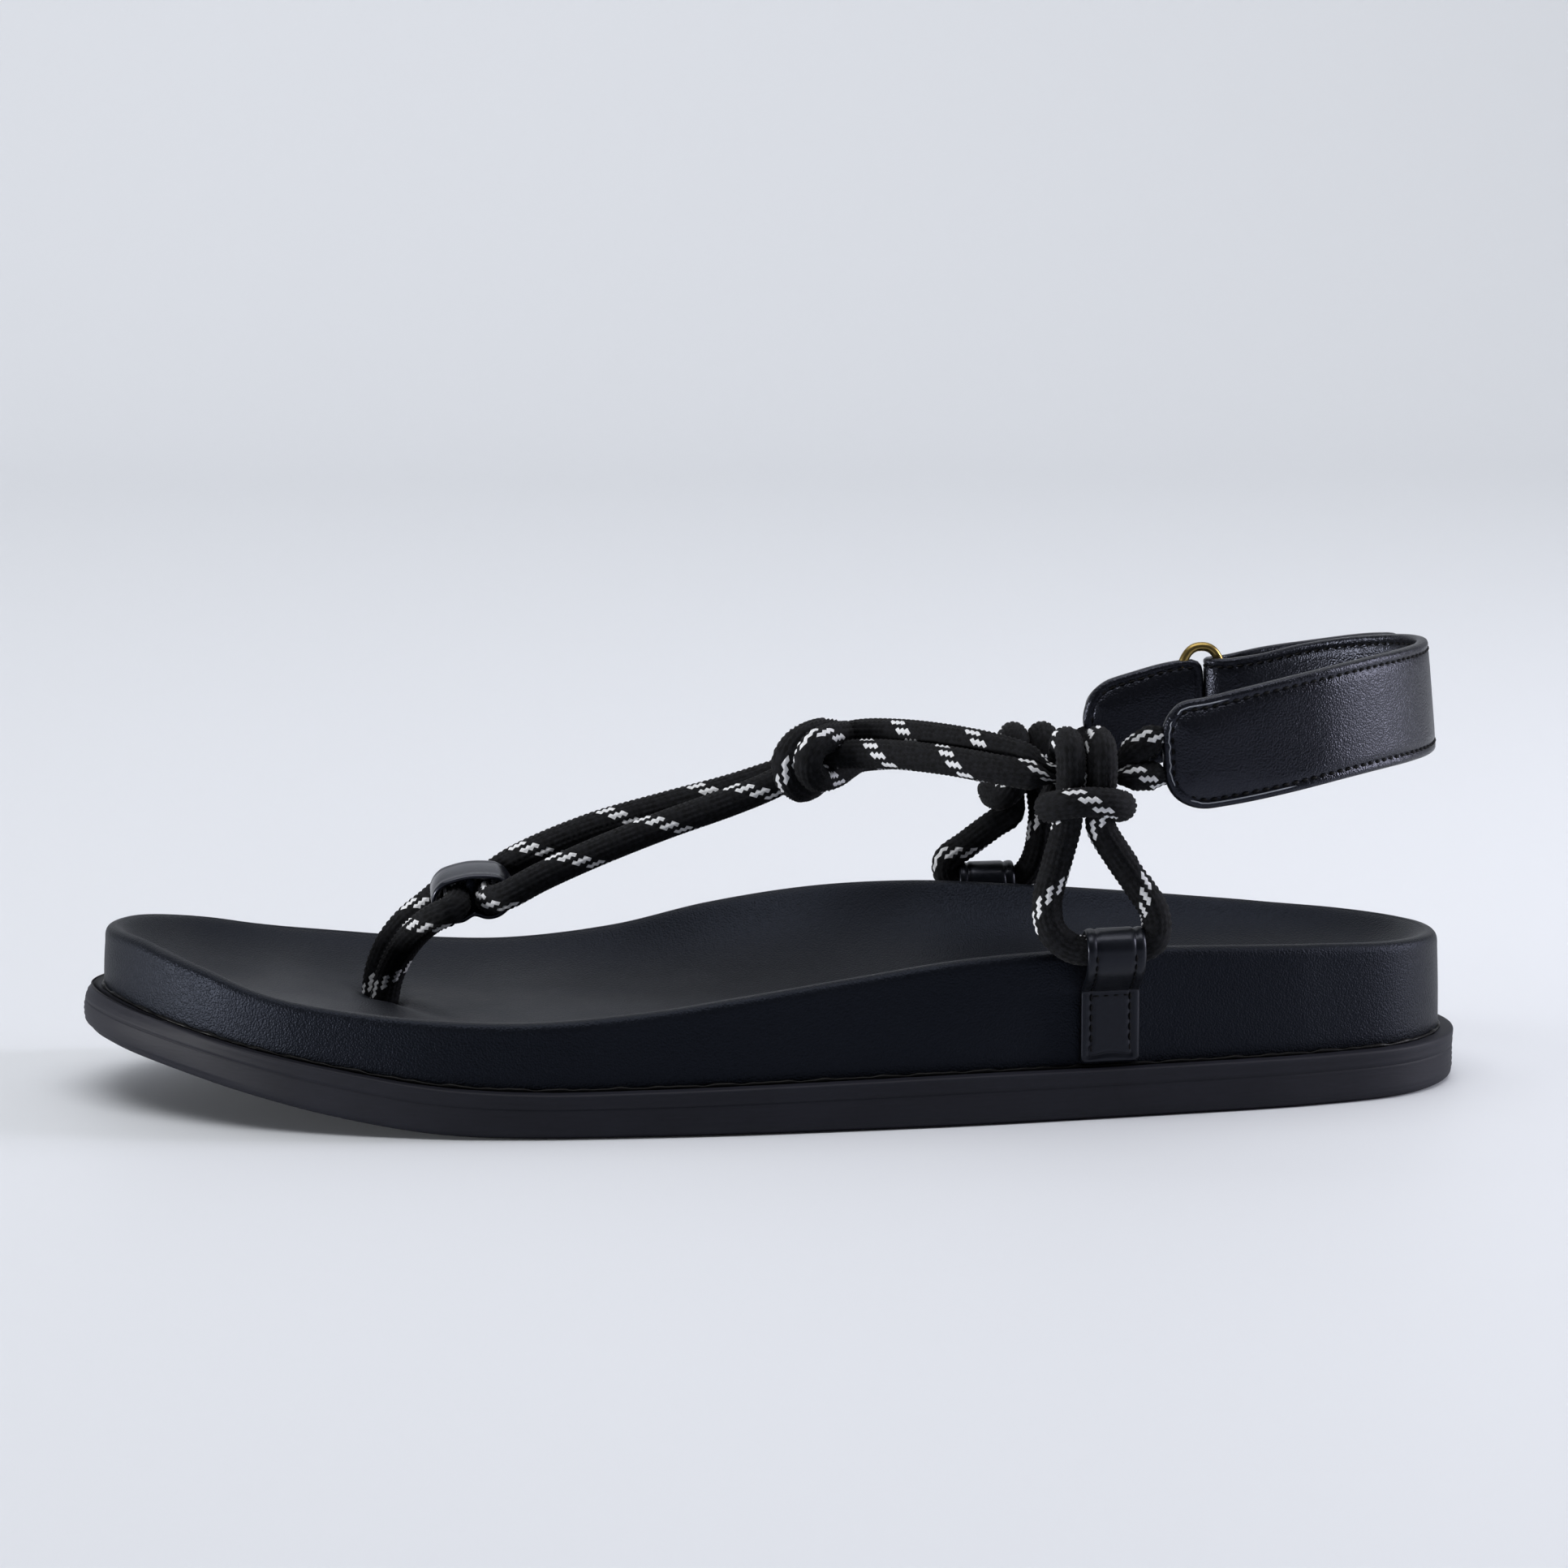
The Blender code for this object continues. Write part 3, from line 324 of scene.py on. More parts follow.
# %% Rope polyester
def braided_polyester():
    """Black yarn, off-white where the mesh says fleck, with fibres finer than the yarn.

    Real fibres are a few hundredths of a millimetre, too fine to show, so they are drawn at
    0.28 mm.
    """
    material, tree, shader = new_material("braided_polyester_flecked", {
        "IOR": 1.55, "Roughness": 0.85, "Specular IOR Level": 0.14,
        "Sheen Weight": 0.02, "Sheen Roughness": 0.5})
    place = add(tree, "ShaderNodeTexCoord").outputs["Object"]
    fleck = add(tree, "ShaderNodeAttribute", attribute_name="fleck")
    shade = add(tree, "ShaderNodeAttribute", attribute_name="yarn")
    fibres = add(tree, "ShaderNodeTexNoise", {"Vector": place, "Scale": per_mm(0.28), "Detail": 3.0})
    black = add(tree, "ShaderNodeMix", {
        "Factor": shade.outputs["Fac"], "A": linear("#040507"), "B": linear("#15161A")}, data_type="RGBA")
    white = add(tree, "ShaderNodeMix", {
        "Factor": fibres.outputs["Fac"], "A": linear("#B4B6BC"), "B": linear("#F1F2F4")}, data_type="RGBA")
    tone = add(tree, "ShaderNodeMix", {
        "Factor": fleck.outputs["Fac"], "A": black.outputs["Result"], "B": white.outputs["Result"]},
        data_type="RGBA")
    bump = add(tree, "ShaderNodeBump", {
        "Height": fibres.outputs["Fac"], "Strength": 0.5, "Distance": 0.08 * MM})
    tree.links.new(tone.outputs["Result"], shader.inputs["Base Color"])
    tree.links.new(bump.outputs["Normal"], shader.inputs["Normal"])
    return material


ROPE = braided_polyester()
print("rope:", ROPE.name)

# %% [markdown]
# ## Brass, thread, cement and raw edge
# The ring is brass wire that was darkened and rubbed, so its colour wanders between gold and
# brown, and the rubbed places are the smoother ones. The thread, the cement and the coating's
# cut edge are seen as thin lines only, so one plain recipe with a fine bump is enough.


# %% Brass, thread, cement and raw edge
def antique_brass():
    """Darkened brass: gold where it is rubbed and brown in the low patches."""
    material, tree, shader = new_material("brass_antiqued", {"Metallic": 1.0})
    place = add(tree, "ShaderNodeTexCoord").outputs["Object"]
    patches = add(tree, "ShaderNodeTexNoise", {"Vector": place, "Scale": per_mm(2.5), "Detail": 5.0})
    tone = add(tree, "ShaderNodeMix", {
        "Factor": patches.outputs["Fac"], "A": linear("#6B5A33"), "B": linear("#B39A5E")}, data_type="RGBA")
    dull = add(tree, "ShaderNodeMapRange", {
        "Value": patches.outputs["Fac"], "To Min": 0.42, "To Max": 0.24})
    tree.links.new(tone.outputs["Result"], shader.inputs["Base Color"])
    tree.links.new(dull.outputs["Result"], shader.inputs["Roughness"])
    return material


def plain_finish(name, code, rough, fine_mm, depth):
    """One colour with a fine uneven surface, for thread, cement and raw edge."""
    material, tree, shader = new_material(
        name, {"Roughness": rough, "Base Color": linear(code), "Specular IOR Level": 0.12})
    place = add(tree, "ShaderNodeTexCoord").outputs["Object"]
    grit = add(tree, "ShaderNodeTexNoise", {"Vector": place, "Scale": per_mm(fine_mm), "Detail": 2.0})
    bump = add(tree, "ShaderNodeBump", {
        "Height": grit.outputs["Fac"], "Strength": depth, "Distance": 0.1 * MM})
    tree.links.new(bump.outputs["Normal"], shader.inputs["Normal"])
    return material


BRASS = antique_brass()
THREAD = plain_finish("bonded_nylon_thread", "#030304", 0.6, 0.2, 0.4)
CEMENT = plain_finish("dried_black_cement", "#040405", 0.4, 0.6, 0.5)
PALE_EDGE = plain_finish("raw_edge_of_coating", "#8E929B", 0.6, 0.4, 0.3)
print("small parts:", BRASS.name, THREAD.name, CEMENT.name, PALE_EDGE.name)

# %% [markdown]
# ## The sole's outline
# The outsole and the footbed share one outline, drawn through a table of cross sections: across
# the foot run x, the two sides, the underside, the ledge, the lip on each side and the bed.
# Slices across the foot would make a rough mess of the toe and the heel, where the outline
# turns. So each point of the outline is paired with a point on a spine down the middle:
# across the foot along the middle stretch, and in a fan round the toe and the heel. A profile
# of insets and heights, carried round all the pairs, gives either piece as one closed surface.

# %% Sole tables
# GAP is the room for cement between the ledge and the footbed, LEDGE the ledge's width.
SOLE_COLUMNS = ("x", "outer", "inner", "bottom", "ledge", "rim_out", "rim_in", "bed")
SOLE_ROWS = np.array([
    (-130.4, 10.0, 10.0, 11.4, 20.3, 31.2, 31.2, 25.5),
    (-124.6, -9.0, 28.0, 10.9, 19.5, 31.0, 30.5, 24.0),
    (-110.0, -25.8, 41.0, 8.4, 16.7, 27.9, 27.9, 21.4),
    (-98.0, -34.4, 45.3, 6.0, 14.4, 24.6, 25.7, 19.4),
    (-84.0, -40.6, 47.0, 3.2, 12.0, 22.4, 24.0, 17.7),
    (-66.0, -46.0, 46.8, 0.7, 9.4, 21.0, 22.4, 16.2),
    (-48.0, -48.5, 45.0, 0.0, 8.4, 20.7, 22.2, 15.6),
    (-28.0, -49.0, 40.0, 0.0, 8.5, 22.2, 25.2, 15.8),
    (-10.0, -48.6, 35.2, 0.0, 8.8, 24.7, 30.1, 16.8),
    (10.0, -47.0, 33.2, 0.0, 9.1, 27.5, 33.3, 18.2),
    (30.0, -45.0, 33.0, 0.0, 9.4, 30.1, 34.1, 19.6),
    (48.0, -42.3, 34.2, 0.0, 9.4, 31.0, 33.0, 20.6),
    (66.0, -39.3, 36.0, 0.0, 9.4, 31.0, 31.4, 21.2),
    (98.0, -33.0, 34.0, 0.0, 9.5, 29.8, 28.8, 21.4),
    (117.4, -25.2, 27.2, 0.0, 9.5, 28.9, 27.9, 22.0),
    (127.9, -13.0, 15.0, 0.0, 9.5, 28.4, 27.8, 23.5),
    (131.2, 1.0, 1.0, 0.0, 9.5, 28.0, 28.0, 24.5),
])
SOLE = dict(zip(SOLE_COLUMNS, SOLE_ROWS.T))
TOE_CENTRE_X = -92.0
HEEL_CENTRE_X = 96.0
GAP = 0.3
LEDGE = 3.0


def along(x, column):
    """The table's column at x: cubic pieces, each slope taken from the rows either side."""
    xs, ys = SOLE["x"], SOLE[column]
    x = np.clip(x, xs[0], xs[-1])
    i = np.clip(np.searchsorted(xs, x, side="right") - 1, 0, len(xs) - 2)
    before = np.maximum(np.arange(len(xs)) - 1, 0)
    after = np.minimum(np.arange(len(xs)) + 1, len(xs) - 1)
    slope = (ys[after] - ys[before]) / (xs[after] - xs[before])
    h = xs[i + 1] - xs[i]
    t = (x - xs[i]) / h
    return ((2 * t ** 3 - 3 * t ** 2 + 1) * ys[i] + (t ** 3 - 2 * t ** 2 + t) * h * slope[i]
            + (3 * t ** 2 - 2 * t ** 3) * ys[i + 1] + (t ** 3 - t ** 2) * h * slope[i + 1])


# %% Pairs of spine and outline
def fan(outline, centre, start, stop, count):
    """Outline points seen from the centre at even angles, by crossing rays with edges."""
    angle = start + (stop - start) * (np.arange(count) + 0.5) / count
    ray = np.stack([np.cos(angle), np.sin(angle)], axis=1)[:, None]
    edge = (np.roll(outline, -1, axis=0) - outline)[None]
    away = (outline - centre)[None]
    across = ray[..., 0] * edge[..., 1] - ray[..., 1] * edge[..., 0]
    across = np.where(np.abs(across) < 1e-9, 1e-9, across)
    reach = (away[..., 0] * edge[..., 1] - away[..., 1] * edge[..., 0]) / across
    part = (away[..., 0] * ray[..., 1] - away[..., 1] * ray[..., 0]) / across
    reach = np.where((reach > 0) & (part >= -1e-9) & (part <= 1 + 1e-9), reach, 0.0)
    return centre + ray[:, 0] * reach.max(axis=1)[:, None]


def pair_up(outline, low_x, high_x, straight, low_fan, high_fan):
    """Spine point and outline point of each pair, going round from the low side's start.

    Between the two centres the spine runs midway between the sides, and a pair has one x.
    straight, low_fan and high_fan are the numbers of pairs there and round either end.
    """
    start = int(np.argmin(outline[:, 0]))
    ring = np.roll(outline, -start, axis=0)
    turn = int(np.argmax(ring[:, 0]))
    sides = [ring[:turn + 1], np.vstack([ring[turn:], ring[:1]])]
    if sides[0][:, 1].mean() > sides[1][:, 1].mean():
        sides = sides[::-1]
    sides = [side[np.argsort(side[:, 0])] for side in sides]
    x = np.linspace(low_x, high_x, straight)
    low, high = (np.interp(x, side[:, 0], side[:, 1]) for side in sides)
    spine = np.stack([x, 0.5 * (low + high)], axis=1)
    high_edge = fan(ring, spine[-1], -math.pi / 2, math.pi / 2, high_fan)
    low_edge = fan(ring, spine[0], math.pi / 2, 1.5 * math.pi, low_fan)
    high_end, low_end = np.repeat(spine[-1:], high_fan, 0), np.repeat(spine[:1], low_fan, 0)
    inner = np.vstack([spine, high_end, spine[::-1], low_end])
    low_side, high_side = np.stack([x, low], axis=1), np.stack([x, high], axis=1)
    edge = np.vstack([low_side, high_edge, high_side[::-1], low_edge])
    return inner, edge, sides


OUTLINE_STEP = 0.5
SOLE_PAIRS = (220, 150, 120)
corners = np.vstack([SOLE_ROWS[:, [0, 1]], SOLE_ROWS[1:-1, [0, 2]][::-1]])
flat_corners = np.column_stack([corners, np.zeros(len(corners))])
sole_outline = smooth_path(flat_corners, OUTLINE_STEP, closed=True)[0][:, :2]
SPINE, EDGE, SIDES = pair_up(sole_outline, TOE_CENTRE_X, HEEL_CENTRE_X, *SOLE_PAIRS)
REACH = np.linalg.norm(EDGE - SPINE, axis=1)
low_y, high_y = (np.interp(EDGE[:, 0], side[:, 0], side[:, 1]) for side in SIDES)
# How far across the foot each outline point lies: 0 on the outer side, 1 on the inner side.
SHARE = np.clip((EDGE[:, 1] - low_y) / np.maximum(high_y - low_y, 1e-6), 0, 1)
print("pairs round the sole:", len(EDGE), "; outline", np.ptp(EDGE, axis=0).round(1), "mm")

# %% [markdown]
# ## Outsole
# On the real sandal the outsole is one slab of rubber, cut a few millimetres wider than the
# footbed so that a ledge runs all round. Its side is buffed, with a fine groove and faint
# layers, its bottom edge is rounded, and its underside is ribbed for grip. A slab with a bevel
# modifier would give the edges, but not a side that changes with the height, so the whole
# profile is written as rows. The ribs are a guess, because the photograph doesn't show them,
# and they are as fine as the mesh can draw cleanly.


# %% Outsole profile
TOE_LEDGE = 1.1
TOE_ROUND = 1.3
FOOT_INSET = 2.4
# Each row of the side is (inset, share of the height from the underside to the ledge).
SIDE_LAYERS = [(0.22 + 0.07 * math.cos(k * math.pi), 0.2 + 0.052 * k) for k in range(9)]
SIDE_GROOVE = [(0.2, 0.64), (0.29, 0.655), (0.32, 0.67), (0.28, 0.685), (0.14, 0.7)]
SIDE_TOP = [(0.1, 0.76), (0.16, 0.81), (0.06, 0.86)]
LIP_ROUND = 0.5
LEDGE_INSETS = (1.6, 3.3, 6.0)
RIB_PITCH = 7.8
RIB_DEPTH = 0.8
RIB_SLANT = 3.0
RIB_BAND = 9.0
RIB_MARGIN = 5.0


def fade_in(x, start, width):
    """0 behind start, 1 a width nearer the toe, with a smooth step 3tt - 2ttt between."""
    t = np.clip((start - x) / width, 0, 1)
    return t * t * (3 - 2 * t)


def inset(distance):
    """Points that far inside the outline, on the line to the spine."""
    return SPINE + (EDGE - SPINE) * (1 - distance / REACH)[:, None]


def ledge_width():
    """Width of the ledge: three millimetres, and one more round the toe."""
    return LEDGE + TOE_LEDGE * fade_in(EDGE[:, 0], -112.0, 14.0)


def ground(x):
    """Height of the underside at x, never below the floor."""
    return np.maximum(along(x, "bottom"), 0)


def ribs(x, y, depth_in):
    """Depth of the tread: zigzag waves across the foot, fading out near the edge."""
    zigzag = RIB_SLANT * np.abs((y / RIB_BAND) % 2 - 1)
    wave = 0.5 + 0.5 * np.sin(2 * math.pi * (x + zigzag) / RIB_PITCH)
    fade = np.clip((depth_in - RIB_MARGIN) / 2.0, 0, 1)
    return RIB_DEPTH * fade * wave ** 1.5


# %% Outsole
def outsole():
    """Underside, rounded foot, layered side and ledge, each a few rows of the profile.

    At the toe the side bulges: its inset grows with the square of the distance from 0.45 of
    the height, by toe_round.
    """
    rows = []
    toe_round = TOE_ROUND * fade_in(EDGE[:, 0], -98.0, 28.0)
    for part in np.linspace(0, 1, 46) ** 0.8:
        spot = SPINE + (EDGE - SPINE) * (part * (1 - (FOOT_INSET + toe_round) / REACH))[:, None]
        depth_in = REACH - np.linalg.norm(spot - SPINE, axis=1)
        rows.append(np.column_stack([spot, ground(spot[:, 0]) + ribs(spot[:, 0], spot[:, 1], depth_in)]))
    for a in np.linspace(0.2, math.pi / 2, 6):
        spot = inset(FOOT_INSET - 2.1 * math.sin(a) + toe_round * 0.81)
        rows.append(np.column_stack([spot, ground(spot[:, 0]) + (1.5 - 1.5 * math.cos(a))]))
    for depth_in, share in SIDE_LAYERS + SIDE_GROOVE + SIDE_TOP:
        spot = inset(depth_in + toe_round * (2 * share - 0.9) ** 2)
        low, high = ground(spot[:, 0]), along(spot[:, 0], "ledge")
        rows.append(np.column_stack([spot, low + (high - low) * share]))
    for a in np.linspace(0, math.pi / 2, 5):
        spot = inset(LIP_ROUND - LIP_ROUND * math.cos(a) + toe_round * 1.21)
        drop = -LIP_ROUND + LIP_ROUND * math.sin(a)
        rows.append(np.column_stack([spot, along(spot[:, 0], "ledge") + drop]))
    for depth_in in LEDGE_INSETS:
        spot = inset(depth_in)
        rows.append(np.column_stack([spot, along(spot[:, 0], "ledge")]))
    rows.append(np.column_stack([SPINE, along(SPINE[:, 0], "ledge")]))
    return skin("outsole_ribbed", np.stack(rows), RUBBER, replaced=["outsole"])


outsole()

# %% [markdown]
# ## Footbed
# A foam bed with the foot's shape is wrapped in one sheet of leather that turns over a rounded
# lip. The bed swells along the inner arch, has a low bar under the toes, and dips where the
# toe post's ropes go down through it. It could be sculpted, but then the rim's heights would be
# lost among the strokes. Here the wall, the lip and the dish are rows of one profile, and the
# lip and the dish meet in a soft minimum of two heights, which rounds the corner between them.

# %% Footbed
POST_HOLES = np.array([(-74.7, 16.6), (-73.0, 10.8)])
HOLE_DEPTH, HOLE_WIDTH = 2.0, 4.4
CREASE = np.array([(-71.5, 8.0), (-60.0, -18.0)])
CREASE_DEPTH, CREASE_WIDTH = 1.3, 2.2
BASE_INSETS = (12.0, 4.0, 0.15)
WALL_LEAN = 0.35
LIP_HEIGHT, LIP_WIDTH = 2.9, 2.35
LIP_SOFTNESS = 0.5
LIP_SQUARENESS = 0.62
ARCH_X, ARCH_SPREAD = 12.0, 38.0
TOE_BAR_X, TOE_BAR_WIDTH = -92.0, 7.0


def lip_height():
    """The outer and the inner lip of the table, blended smoothly across the foot."""
    part = SHARE * SHARE * (3 - 2 * SHARE)
    return along(EDGE[:, 0], "rim_out") * (1 - part) + along(EDGE[:, 0], "rim_in") * part


def from_line(spot, line):
    """Share along a line from a to b of the nearest point, and the distance to it."""
    a, b = line
    t = np.clip(((spot - a) @ (b - a)) / ((b - a) @ (b - a)), 0, 1)
    return t, np.linalg.norm(spot - (a + t[:, None] * (b - a)), axis=1)


def hole_dimple(spot):
    """How far the leather is drawn down at the toe post: a bell curve of the distance to the
    line between its two holes, and one beside the crease, which fades towards its far end.
    """
    _, far = from_line(spot, POST_HOLES)
    t, beside = from_line(spot, CREASE)
    hole = HOLE_DEPTH * np.exp(-(far / HOLE_WIDTH) ** 2)
    return hole + CREASE_DEPTH * (1 - t) * np.exp(-(beside / CREASE_WIDTH) ** 2)


def footbed():
    """Base, upright wall, round lip and dished bed.

    The lip is a quarter of a squared-off circle. The bed rises from the table's height to the
    lip's with a power of the share from spine to rim, and a lower power makes the arch fuller.
    """
    lip, border = lip_height(), ledge_width()
    rows = [np.column_stack([SPINE, along(SPINE[:, 0], "ledge") + GAP])]
    for depth_in in BASE_INSETS:
        spot = inset(np.minimum(border + depth_in, REACH))
        rows.append(np.column_stack([spot, along(spot[:, 0], "ledge") + GAP]))
    for share in np.linspace(0.0, 1.0, 9):
        spot = inset(border + WALL_LEAN * share ** 2)
        base = along(spot[:, 0], "ledge") + GAP + 0.3
        rows.append(np.column_stack([spot, base + (lip - LIP_HEIGHT - base) * share]))
    for a in np.linspace(0, math.pi / 2, 13)[1:]:
        turned_in = LIP_WIDTH * (1 - max(math.cos(a), 0.0) ** LIP_SQUARENESS)
        spot = inset(border + WALL_LEAN + turned_in)
        rows.append(np.column_stack([spot, lip - LIP_HEIGHT * (1 - math.sin(a) ** LIP_SQUARENESS)]))
    arch = np.exp(-((EDGE[:, 0] - ARCH_X) / ARCH_SPREAD) ** 2) * np.maximum(0.0, 2 * SHARE - 1)
    power = 5.0 - 2.4 * arch
    near_lip = 1 - 0.35 * (np.linspace(0, 1, 22)[1:]) ** 1.4
    steps = np.concatenate([near_lip, np.linspace(0.65, 0, 20)[1:]])
    start = 1 - (border + WALL_LEAN + LIP_WIDTH) / REACH
    rim = 1 - (border + 3.4) / REACH
    for step in steps:
        part = start * step
        spot = SPINE + (EDGE - SPINE) * part[:, None]
        low = along(spot[:, 0], "bed")
        toe_bar = np.exp(-((spot[:, 0] - TOE_BAR_X) / TOE_BAR_WIDTH) ** 2) * np.maximum(0, 1 - step ** 4)
        dish = low + (lip - low) * (part / rim) ** power + toe_bar
        lower = -LIP_SOFTNESS * np.logaddexp(-dish / LIP_SOFTNESS, -lip / LIP_SOFTNESS)
        rows.append(np.column_stack([spot, lower - hole_dimple(spot)]))
    return skin("footbed_wrapped", np.stack(rows), WRAP_LEATHER, replaced=["footbed"])


footbed()

# %% [markdown]
# ## Cement line
# Where the wrapped bed meets the ledge a thin uneven line of black cement has squeezed out. A
# dark line in the leather's colour would do from afar, but a bead catches the light as the real
# one does. It is a thin tube that follows the wall's foot, and its thickness and height wander.


# %% Cement line
BEAD_STEP = 0.8
BEAD_RADIUS = 0.36


def tube_grid(path, path_frames, radius, sides):
    """Rings round a path: centre plus side times cosine plus up times sine, times radius."""
    _, side, up = path_frames
    angle = 2 * math.pi * np.arange(sides) / sides
    ring = side[:, None] * np.cos(angle)[None, :, None] + up[:, None] * np.sin(angle)[None, :, None]
    return path[:, None] + ring * np.broadcast_to(radius, (len(path),))[:, None, None]


def cement_line():
    """Tube round the foot of the wall. Its wander is a sum of three sines, the same each run."""
    spot = inset(ledge_width() - 0.1)
    height = along(spot[:, 0], "ledge") + 0.25
    path, stops = smooth_path(np.column_stack([spot, height])[::4], BEAD_STEP, closed=True)
    turn = 2 * math.pi * stops / (stops[-1] + BEAD_STEP)
    wander = np.sin(61 * turn) + 0.8 * np.sin(97 * turn + 1.0) + 0.6 * np.sin(173 * turn + 2.0)
    path[:, 2] += 0.05 * wander
    grid = tube_grid(path, carried_frames(path, True), BEAD_RADIUS + 0.07 * wander, 8)
    return skin("cement_line", grid, CEMENT, closed_rows=True)


cement_line()

# %% [markdown]
# ## Braided rope
# The rope is a tube of thirty-two yarns, half wound each way, every yarn going over two and
# under two. Sixteen yarns wind like a screw's thread and sixteen against it, so the surface
# is a net of small diamonds, one for each crossing, and two in a row make a stitch. Three
# neighbouring yarns of one direction are off-white and surface as short groups of three.
# Sweeping thirty-two separate yarns would need millions of faces, and a bump map would leave
# the rope's outline smooth. So the mesh is that net: every edge runs along the rope or along a
# yarn, and a stitch is a patch of whole triangles, raised in its middle and pinched at its edge.

# %% Rope sizes
# Millimetres: the radius over the crests, one turn of a yarn, and how deep the net is pressed in.
ROPE_RADIUS = 2.84
COLUMNS = 16
TURN_LENGTH = 18.0
STITCH = TURN_LENGTH / COLUMNS
AROUND = 4 * COLUMNS
YARN_RELIEF = 0.38
LIGHT_YARNS = 3
print("one stitch of the braid:", round(STITCH, 3), "mm")


# %% Crossings
def thread_on_top(a, b):
    """True where the screw-wise yarn a lies over yarn b: two over, two under."""
    return (a + b) % 4 < 2


def stitch_height(x, y):
    """Height of the net at x columns round and y stitches along, 0 at a border, 1 on a crest.

    x - y counts the yarns of one direction and x + y those of the other. Where one count
    ends in a half and the other is whole, the point lies on a yarn's middle line, between
    two crossings, and it is a crest only if the same yarn is on top in both.
    """
    two_a, two_b = np.round(2 * (x - y)).astype(int), np.round(2 * (x + y)).astype(int)
    a, b = two_a // 2, two_b // 2
    odd_a, odd_b = two_a % 2 == 1, two_b % 2 == 1
    crest_a = odd_a & ~odd_b & thread_on_top(a, b - 1) & thread_on_top(a, b)
    crest_b = ~odd_a & odd_b & ~thread_on_top(a - 1, b) & ~thread_on_top(a, b)
    return np.where(odd_a & odd_b, 0.85, np.where(crest_a | crest_b, 1.0, 0.0))


# %% Rope
def braid(rows, turn=0.0, taper=None):
    """Points, triangles and face marks of one rope.

    Ring i holds AROUND points. Odd points sit a quarter stitch further along than even ones,
    so that ring edges and the diagonals between rings run along the two yarn directions.
    turn is the part of a full turn by which the light yarns start round the rope, and taper
    gives the radius by x where the rope is pressed thin. Each end is closed by a fan to a pole.
    """
    path, _ = smooth_path(rows, STITCH / 2)
    _, side, up = carried_frames(path)
    j = np.arange(AROUND)
    i = np.arange(len(path))[:, None]
    x = np.broadcast_to(j / 4, (len(path), AROUND))
    y = (2 * i + j % 2) / 4
    at = np.clip(2 * y, 0, len(path) - 1)
    low = np.minimum(at.astype(int), len(path) - 2)
    part = (at - low)[..., None]

    def read(values):
        return values[low] * (1 - part) + values[low + 1] * part

    centre, right, top = read(path), unit(read(side)), unit(read(up))
    angle = (2 * math.pi * (x / COLUMNS + turn))[..., None]
    reach = np.full(x.shape, ROPE_RADIUS) if taper is None else taper(centre[..., 0])
    reach = (reach - YARN_RELIEF * (1 - stitch_height(x, y)))[..., None]
    grid = centre + reach * (right * np.cos(angle) + top * np.sin(angle))
    corner = np.arange(grid.shape[0] * AROUND).reshape(-1, AROUND)
    here, there = corner[:-1], np.roll(corner, -1, axis=1)[:-1]
    far, far_there = corner[1:], np.roll(corner, -1, axis=1)[1:]
    rising = (j % 2 == 0)[None] & (here >= 0)
    first = np.stack([here, there, np.where(rising, far, far_there)], axis=-1)
    second = np.stack([np.where(rising, there, here), far_there, far], axis=-1)
    triangles = np.stack([first, second], axis=2).reshape(-1, 3)
    thirds = np.stack([np.where(rising, 1, 2), np.where(rising, 2, 1)], axis=-1) / 3
    middle_x = (j[:, None] + thirds) / 4
    middle_x = middle_x[:1].repeat(len(here), 0).reshape(-1)
    middle_y = y.reshape(-1)[triangles].mean(axis=1)
    a, b = np.floor(middle_x - middle_y).astype(int), np.floor(middle_x + middle_y).astype(int)
    fleck = thread_on_top(a, b) & (a % COLUMNS < LIGHT_YARNS)
    shade = ((a * 7 + b * 5) % 11) / 11
    poles = np.stack([path[0], path[-1]])
    points = np.vstack([grid.reshape(-1, 3), poles])
    caps = []
    for ring, pole in ((corner[0], len(points) - 2), (corner[-1], len(points) - 1)):
        caps.append(np.stack([ring, np.roll(ring, -1), np.full(AROUND, pole)], axis=-1))
    triangles = np.vstack([triangles] + caps)
    rest = np.zeros(2 * AROUND)
    return points, triangles, np.concatenate([fleck, rest]), np.concatenate([shade, rest])


def rope_piece(name, ropes, replaced=()):
    """One mesh of several ropes. Each is (rows, turn of the light yarns, taper)."""
    points, faces, flecks, shades, start = [], [], [], [], 0
    for rows, turn, taper in ropes:
        spots, triangles, fleck, shade = braid(rows, turn, taper)
        points.append(spots)
        faces.append(triangles + start)
        flecks.append(fleck)
        shades.append(shade)
        start += len(spots)
    marks = {"fleck": np.concatenate(flecks), "yarn": np.concatenate(shades)}
    return make_piece(name, np.vstack(points), np.vstack(faces), ROPE, marks, replaced)
